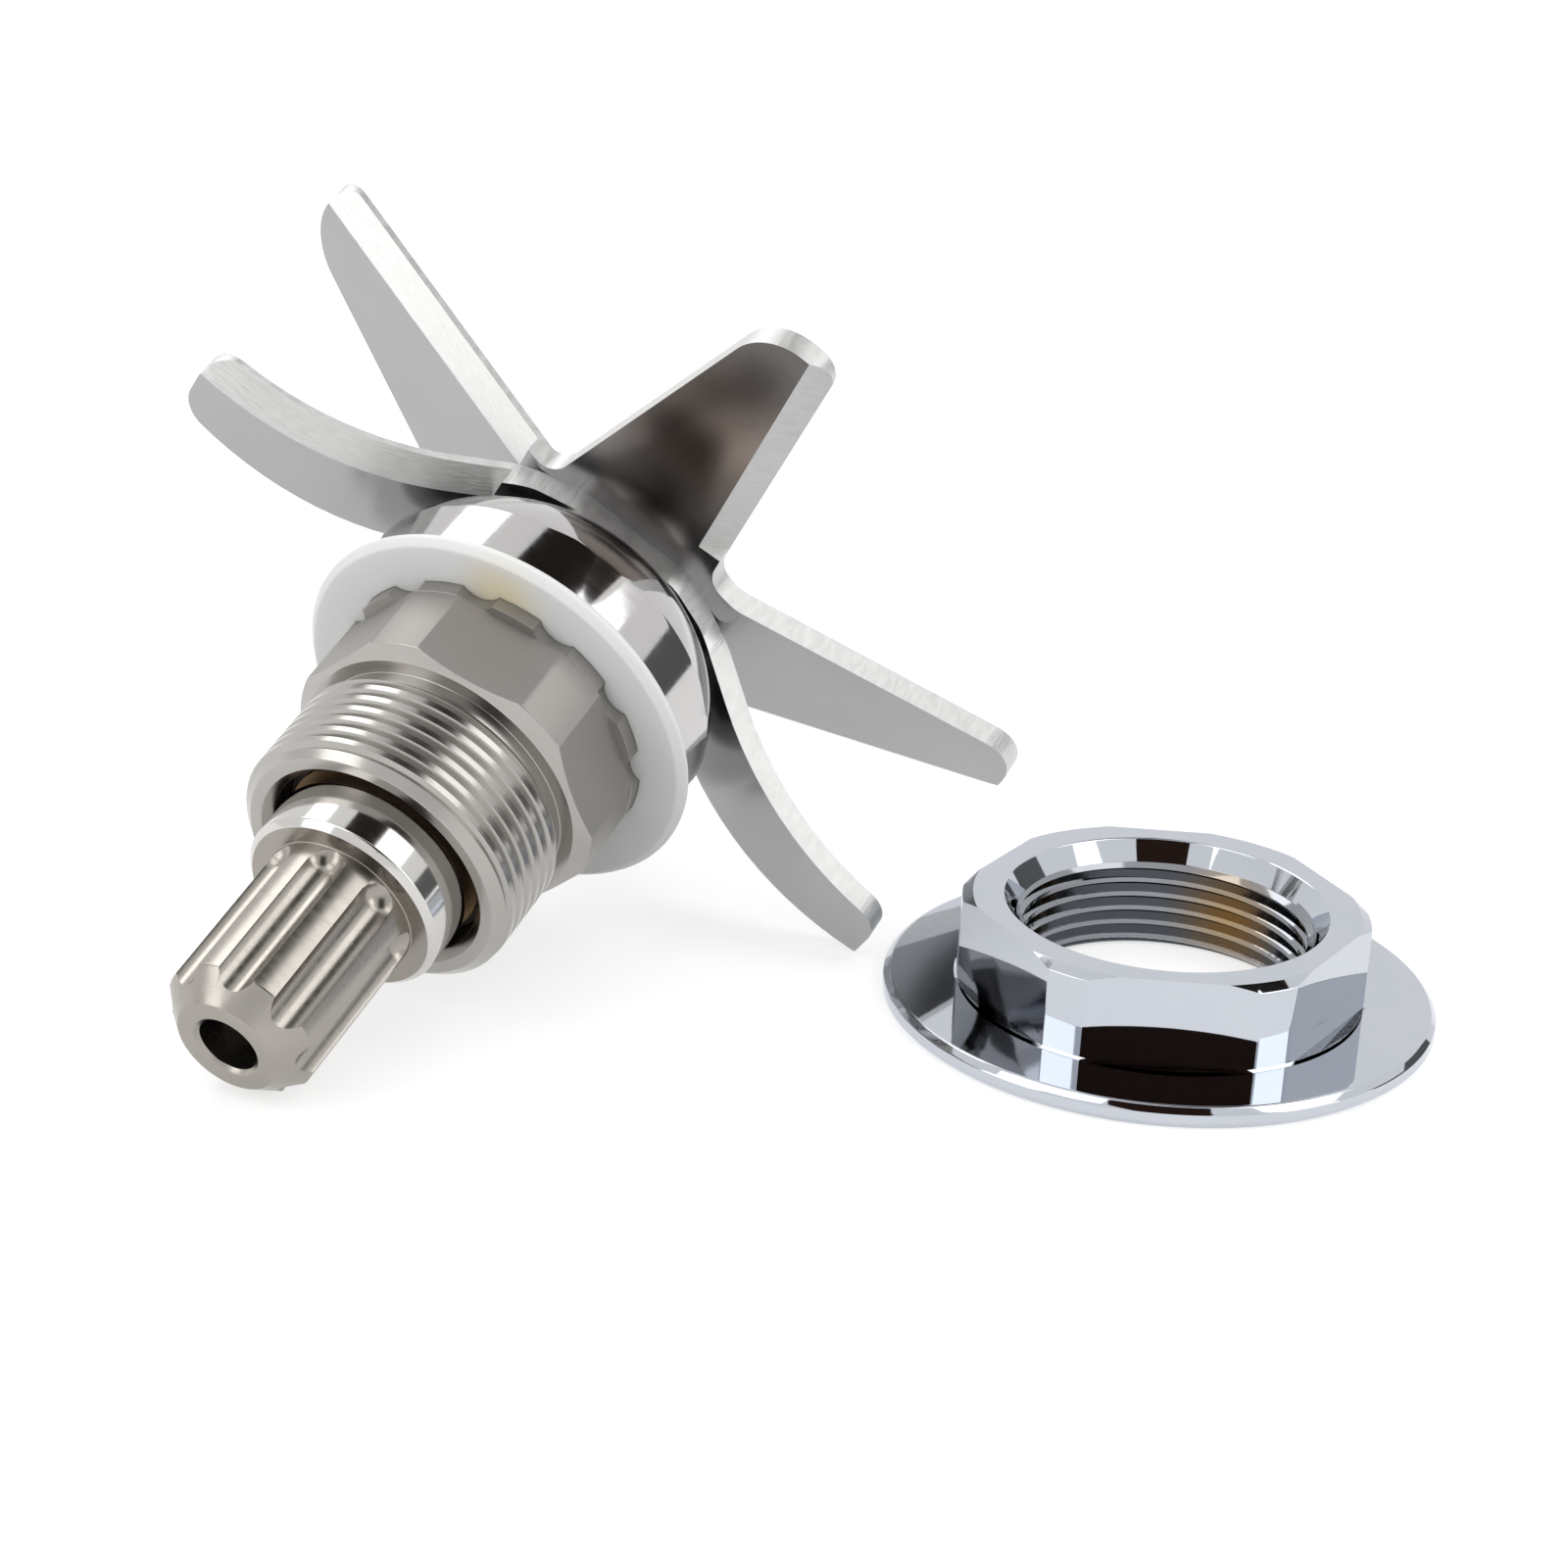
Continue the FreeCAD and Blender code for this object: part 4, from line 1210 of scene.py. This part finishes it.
@dataclass
class Blades:
    """Both blades with the sleeve under them and the fasteners that clamp them."""

    seat: float = 17.05
    thickness: float = 2.5
    journal: float = 4.02
    sleeve_radius: float = 6.0
    sleeve_bottom: float = 7.65
    disc_radius: float = 9.6
    disc_bottom: float = 13.2
    washer_radius: float = 8.0
    washer_thickness: float = 1.5
    spring_radius: float = 6.9
    spring_thickness: float = 1.8
    spring_slot: float = 1.0
    nut_across_flats: float = 13.0
    nut_turned_radius: float = 7.4
    nut_hex_height: float = 6.5
    nut_height: float = 10.0
    nut_hole_depth: float = 8.0
    nut_dome_radius: float = 6.2
    nut_crown_radius: float = 2.4
    nut_bulge: Corner = (0.83, 0.90)
    nut_bulge_easing: float = 2.6
    nut_chamfer: float = 0.8
    nut_chamfer_height: float = 0.5
    nut_edge_easing: float = 0.1
    disc_easing: float = 0.5
    washer_easing: float = 0.3
    facets: int = 96

    def make_sleeve(self) -> Piece:
        """Turns the sleeve that the seal runs on and the disc that the blades rest on."""
        return turned("thrust_sleeve", [
            (self.journal, self.sleeve_bottom), (self.sleeve_radius, self.sleeve_bottom),
            (self.sleeve_radius, self.disc_bottom), (self.disc_radius, self.disc_bottom),
            (self.disc_radius, self.seat, self.disc_easing), (self.journal, self.seat),
        ], steps=self.facets)

    def make_washer(self, bottom: float) -> Piece:
        """Turns the plain washer."""
        top = bottom + self.washer_thickness
        return turned("blade_washer", [
            (self.journal, bottom), (self.washer_radius, bottom),
            (self.washer_radius, top, self.washer_easing), (self.journal, top),
        ], steps=self.facets)

    def make_spring_washer(self, bottom: float) -> Piece:
        """Turns the spring washer and slits it."""
        top = bottom + self.spring_thickness
        piece = turned("spring_washer", [
            (self.journal, bottom), (self.spring_radius, bottom),
            (self.spring_radius, top), (self.journal, top),
        ], steps=self.facets)
        half, reach = self.spring_slot / 2, self.spring_radius + 2 * MARGIN
        slot = [(0, -half), (reach, -half), (reach, half), (0, half)]
        combine(piece, column(slot, bottom - MARGIN, top + MARGIN))
        return piece

    def make_cap_nut(self, bottom: float) -> Piece:
        """Turns the domed cap nut and mills its hexagon."""
        hex_top, top = bottom + self.nut_hex_height, bottom + self.nut_height
        turned_radius, chamfer = self.nut_turned_radius, self.nut_chamfer
        chamfer_height = self.nut_chamfer_height
        start, end = Vector((self.nut_dome_radius, hex_top)), Vector((self.nut_crown_radius, top))
        middle = (start + end) / 2 + Vector(self.nut_bulge)
        piece = turned("blade_cap_nut", [
            (self.journal, bottom), (turned_radius - chamfer, bottom),
            (turned_radius, bottom + chamfer_height), (turned_radius, hex_top - chamfer_height),
            (turned_radius - chamfer, hex_top), (*start, 0.0),
            (*middle, self.nut_bulge_easing), (*end, chamfer), (0.0, top),
        ], closed=False, steps=self.facets)
        combine(piece, hexagon_trimmer(self.nut_across_flats, turned_radius + 3 * MARGIN, bottom - MARGIN,
                                       hex_top, 0.0))
        ease_edges(piece, self.nut_edge_easing)
        return piece

    def build(self, bench: Bench) -> None:
        """Makes the blades and fasteners and lays them down."""
        cross_bottom = self.seat + self.thickness
        washer = cross_bottom + self.thickness
        spring = washer + self.washer_thickness
        nut = spring + self.spring_thickness
        lay(LowerBlade(self.seat).make(), "lower_blade", bench.stack, "rotor", [BLADE_STEEL, GROUND_STEEL])
        # The cross blade's third finish paints a dark reflection onto its underside.
        lay(CrossBlade(cross_bottom).make(), "cross_blade", bench.stack, "rotor",
            [BLADE_STEEL, GROUND_STEEL, PAINTED_REFLECTION_STEEL])
        for node, piece in (("thrust_sleeve", self.make_sleeve()), ("blade_washer", self.make_washer(washer)),
                            ("spring_washer", self.make_spring_washer(spring)),
                            ("blade_cap_nut", self.make_cap_nut(nut))):
            lay(piece, node, bench.stack, "rotor", [FASTENER_STEEL])


@dataclass
class RetainingNut:
    """The flanged nut that lies beside the stack."""

    flange_radius: float = 26.5
    flange_thickness: float = 2.2
    flange_edge: float = 0.6
    across_flats: float = 35.6
    turned_radius: float = 19.5
    height: float = 10.7
    edge: float = 0.6
    edge_width: float = 1.0
    mouth_radius: float = 15.55
    mouth_depth: float = 2.0
    crest_radius: float = 13.6
    root_radius: float = 14.4
    pitch: float = 1.5
    turn: float = -2.8
    foot: float = 0.22
    rim_easing: float = 0.4
    mouth_easing: float = 0.3
    facets: int = 160
    entry_chamfer: float = 0.9
    mouth_floor: float = 0.5
    mouth_floor_inset: float = 0.2
    thread_lead: float = 0.12
    thread_half_width: float = 0.6
    thread_start: float = -1.6
    thread_turns: int = 8

    def make(self) -> Piece:
        """Turns the nut, mills its hexagon with a narrow foot and cuts its thread."""
        rim, edge, thick = self.flange_radius, self.flange_edge, self.flange_thickness
        flange = [(rim - edge, 0.0), (rim, edge), (rim, thick - edge), (rim - edge, thick)]
        piece = turned("retaining_nut", [
            (self.crest_radius, self.entry_chamfer),
            (self.root_radius, 0.0),
            *[(*corner, self.rim_easing) for corner in flange],
            (self.turned_radius + self.foot, self.flange_thickness, 0.0),
            (self.turned_radius, self.flange_thickness + self.foot, 0.0),
            (self.turned_radius, self.height - self.edge),
            (self.turned_radius - self.edge_width, self.height, self.mouth_easing),
            (self.mouth_radius, self.height, self.mouth_easing),
            (self.root_radius - self.mouth_floor_inset, self.height - self.mouth_depth, self.mouth_easing),
            (self.crest_radius, self.height - self.mouth_depth - self.mouth_floor),
        ], steps=self.facets)
        foot_top = self.flange_thickness + self.foot
        for wider, bottom, top in ((2 * self.foot, self.flange_thickness, foot_top),
                                   (0.0, foot_top, self.height + MARGIN)):
            combine(piece, hexagon_trimmer(self.across_flats + wider, self.flange_radius + 3 * MARGIN, bottom,
                                           top, 30 + self.turn))
        thread = Thread(self.root_radius, self.crest_radius - self.thread_lead, self.thread_half_width,
                        self.pitch, self.thread_start, self.thread_turns)
        combine(piece, thread.cutter())
        mark(piece, 1, lambda at, _: at.xy.length < self.root_radius + 2 * NEAR)
        return piece

    def build(self, bench: Bench) -> None:
        """Makes the nut and lays it down."""
        lay(self.make(), "retaining_nut", bench.nut, "housing", [NUT_CHROME, NUT_THREAD])


@dataclass
class InnerPieces:
    """The bushings, washers and seal, which keep the CAD model's shape."""

    def finishes(self) -> dict[str, Finish]:
        """The finish of each CAD node that stays."""
        return {"lower_bushing": BUSHING_BRONZE, "upper_bushing": BUSHING_BRONZE, "oil_felt": OIL_FELT,
                "lower_fibre_washer": WASHER_FIBRE, "upper_fibre_washer": WASHER_FIBRE,
                "lower_steel_washer": WASHER_STEEL, "upper_steel_washer": WASHER_STEEL,
                "lip_seal": SEAL_RUBBER, "seal_retaining_ring": WASHER_STEEL}

    def build(self, bench: Bench, nodes: dict[str, Piece]) -> None:
        """Gives each node its material."""
        for node, finish in self.finishes().items():
            for slot in nodes[node].material_slots:
                slot.material = finish.material(bench.stack)
            log.info("%s: %s", node, finish.name)


# The room around the object


def stand(name: str, thing: bpy.types.ID, place: Sequence[float], turn: Euler) -> Piece:
    """Stands a lamp or a camera in the scene and gives its object."""
    holder = bpy.data.objects.new(name, thing)
    bpy.context.scene.collection.objects.link(holder)
    holder.location, holder.rotation_euler = place, turn
    return holder


@dataclass(frozen=True)
class Panel:
    """A flat thing that faces the object, by its direction from it."""

    name: str
    aim: Corner
    distance: float
    width: float
    height: float

    def place(self) -> Vector:
        """Where its middle stands."""
        return Vector(self.aim).normalized() * self.distance

    def turn(self) -> Euler:
        """How it is turned to face the object with its width level."""
        return self.place().to_track_quat("Z", "Y").to_euler()


@dataclass(frozen=True)
class Lamp(Panel):
    """A soft rectangular lamp of an even brightness, where 1 looks white."""

    brightness: float

    def set_up(self) -> None:
        """Adds the lamp."""
        lamp = bpy.data.lights.new(self.name, "AREA")
        lamp.shape = "RECTANGLE"
        lamp.size, lamp.size_y = self.width, self.height
        lamp.energy = self.brightness * math.pi * self.width * self.height
        stand(self.name, lamp, self.place(), self.turn())


@dataclass(frozen=True)
class Card(Panel):
    """A matt card that only gloss shows."""

    tone: Corner

    def set_up(self) -> None:
        """Adds the card."""
        deselect()
        bpy.ops.mesh.primitive_plane_add(size=1.0, location=self.place(), rotation=self.turn())
        card = bpy.context.object
        card.name = self.name
        card.scale = (self.width, self.height, 1.0)
        settle(card)
        card.visible_camera = card.visible_diffuse = card.visible_shadow = False
        material, _, shader = new_material(self.name)
        shader.inputs["Base Color"].default_value = (*self.tone, 1.0)
        shader.inputs["Roughness"].default_value = 1.0
        shader.inputs["Specular IOR Level"].default_value = 0.0
        card.data.materials.append(material)


LAMPS = (
    Lamp("top_lamp", (-0.45, 0.50, 0.74), 0.8, 0.40, 0.30, 2.4),
    Lamp("left_lamp", (-0.83, -0.43, 0.40), 0.8, 0.34, 0.40, 1.9),
    Lamp("right_lamp", (0.80, -0.45, 0.40), 0.8, 0.34, 0.40, 1.9),
    Lamp("upper_left_lamp", (-0.47, -0.27, 0.84), 0.8, 0.44, 0.30, 1.5),
    Lamp("upper_right_lamp", (0.60, -0.12, 0.79), 0.8, 0.42, 0.40, 1.5),
)
CARDS = (
    Card("camera_card", (0.06, -0.74, 0.62), 0.9, 0.50, 0.90, (0.040, 0.022, 0.016)),
    Card("overhead_card", (0.24, 0.21, 0.95), 0.7, 0.34, 0.42, (0.03, 0.025, 0.022)),
    Card("right_card", (0.92, 0.32, 0.10), 0.6, 0.45, 0.30, (0.17, 0.17, 0.175)),
)


def seen_directly(wiring: Wiring) -> Socket:
    """One for rays from the camera, from gloss or through glass, and zero for light on surfaces."""
    path = wiring.add("LightPath")
    first = wiring.add("Math", operation="MAXIMUM", i0=path.outputs["Is Camera Ray"],
                       i1=path.outputs["Is Glossy Ray"])
    return wiring.add("Math", operation="MAXIMUM", i0=first.outputs[0],
                      i1=path.outputs["Is Transmission Ray"]).outputs[0]


@dataclass
class Studio:
    """A white floor and surround, soft lamps, dark cards and the camera."""

    camera_place: Corner = (-0.00955, -0.35537, 0.16341)
    camera_turn: Corner = (67.6655, -3.2528, 0.155)
    camera_view: float = 22.16
    floor_size: float = 6.0
    floor_tone: float = 0.55
    floor_roughness: float = 0.9
    floor_gloss: float = 0.1
    floor_glow: float = 0.62
    world_level: float = 0.72

    def make_world(self) -> None:
        """White where it is seen, and an even grey light on surfaces."""
        world = bpy.data.worlds.new("surround")
        bpy.context.scene.world = world
        world.use_nodes = True
        wiring = Wiring(world.node_tree)
        background = world.node_tree.nodes["Background"]
        background.inputs["Color"].default_value = WHITE
        wiring.feed(background.inputs["Strength"],
                    wiring.spread(seen_directly(wiring), self.world_level, 1.0))

    def make_floor(self) -> None:
        """A white floor that keeps the object's shadow."""
        deselect()
        bpy.ops.mesh.primitive_plane_add(size=self.floor_size)
        floor = bpy.context.object
        floor.name = "floor"
        material, wiring, shader = new_material("floor_white")
        shader.inputs["Base Color"].default_value = (self.floor_tone,) * 3 + (1.0,)
        shader.inputs["Roughness"].default_value = self.floor_roughness
        shader.inputs["Specular IOR Level"].default_value = self.floor_gloss
        shader.inputs["Emission Color"].default_value = WHITE
        glow = wiring.spread(seen_directly(wiring), 0.0, self.floor_glow)
        wiring.feed(shader.inputs["Emission Strength"], glow)
        floor.data.materials.append(material)

    def make_camera(self) -> None:
        """Puts the camera where the photograph was taken from."""
        camera = bpy.data.cameras.new("camera")
        camera.sensor_fit = "HORIZONTAL"
        camera.angle = math.radians(self.camera_view)
        camera.clip_start = 0.01
        turn = Euler([math.radians(angle) for angle in self.camera_turn], "XYZ")
        bpy.context.scene.camera = stand("camera", camera, self.camera_place, turn)

    def build(self) -> None:
        """Sets the whole room up."""
        bpy.context.scene.view_settings.view_transform = "Standard"
        self.make_world()
        self.make_floor()
        for panel in (*LAMPS, *CARDS):
            panel.set_up()
        self.make_camera()
        log.info("studio ready")


def main() -> None:
    """Builds every sub-assembly and the studio."""
    logging.basicConfig(level=logging.INFO, format="%(name)s: %(message)s")
    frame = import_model()
    bench = Bench.from_record(frame["record"])
    for assembly in (Housing(), Shaft(), Blades(), RetainingNut()):
        assembly.build(bench)
    InnerPieces().build(bench, frame["nodes"])
    Studio().build()


if __name__ == "__main__":
    main()
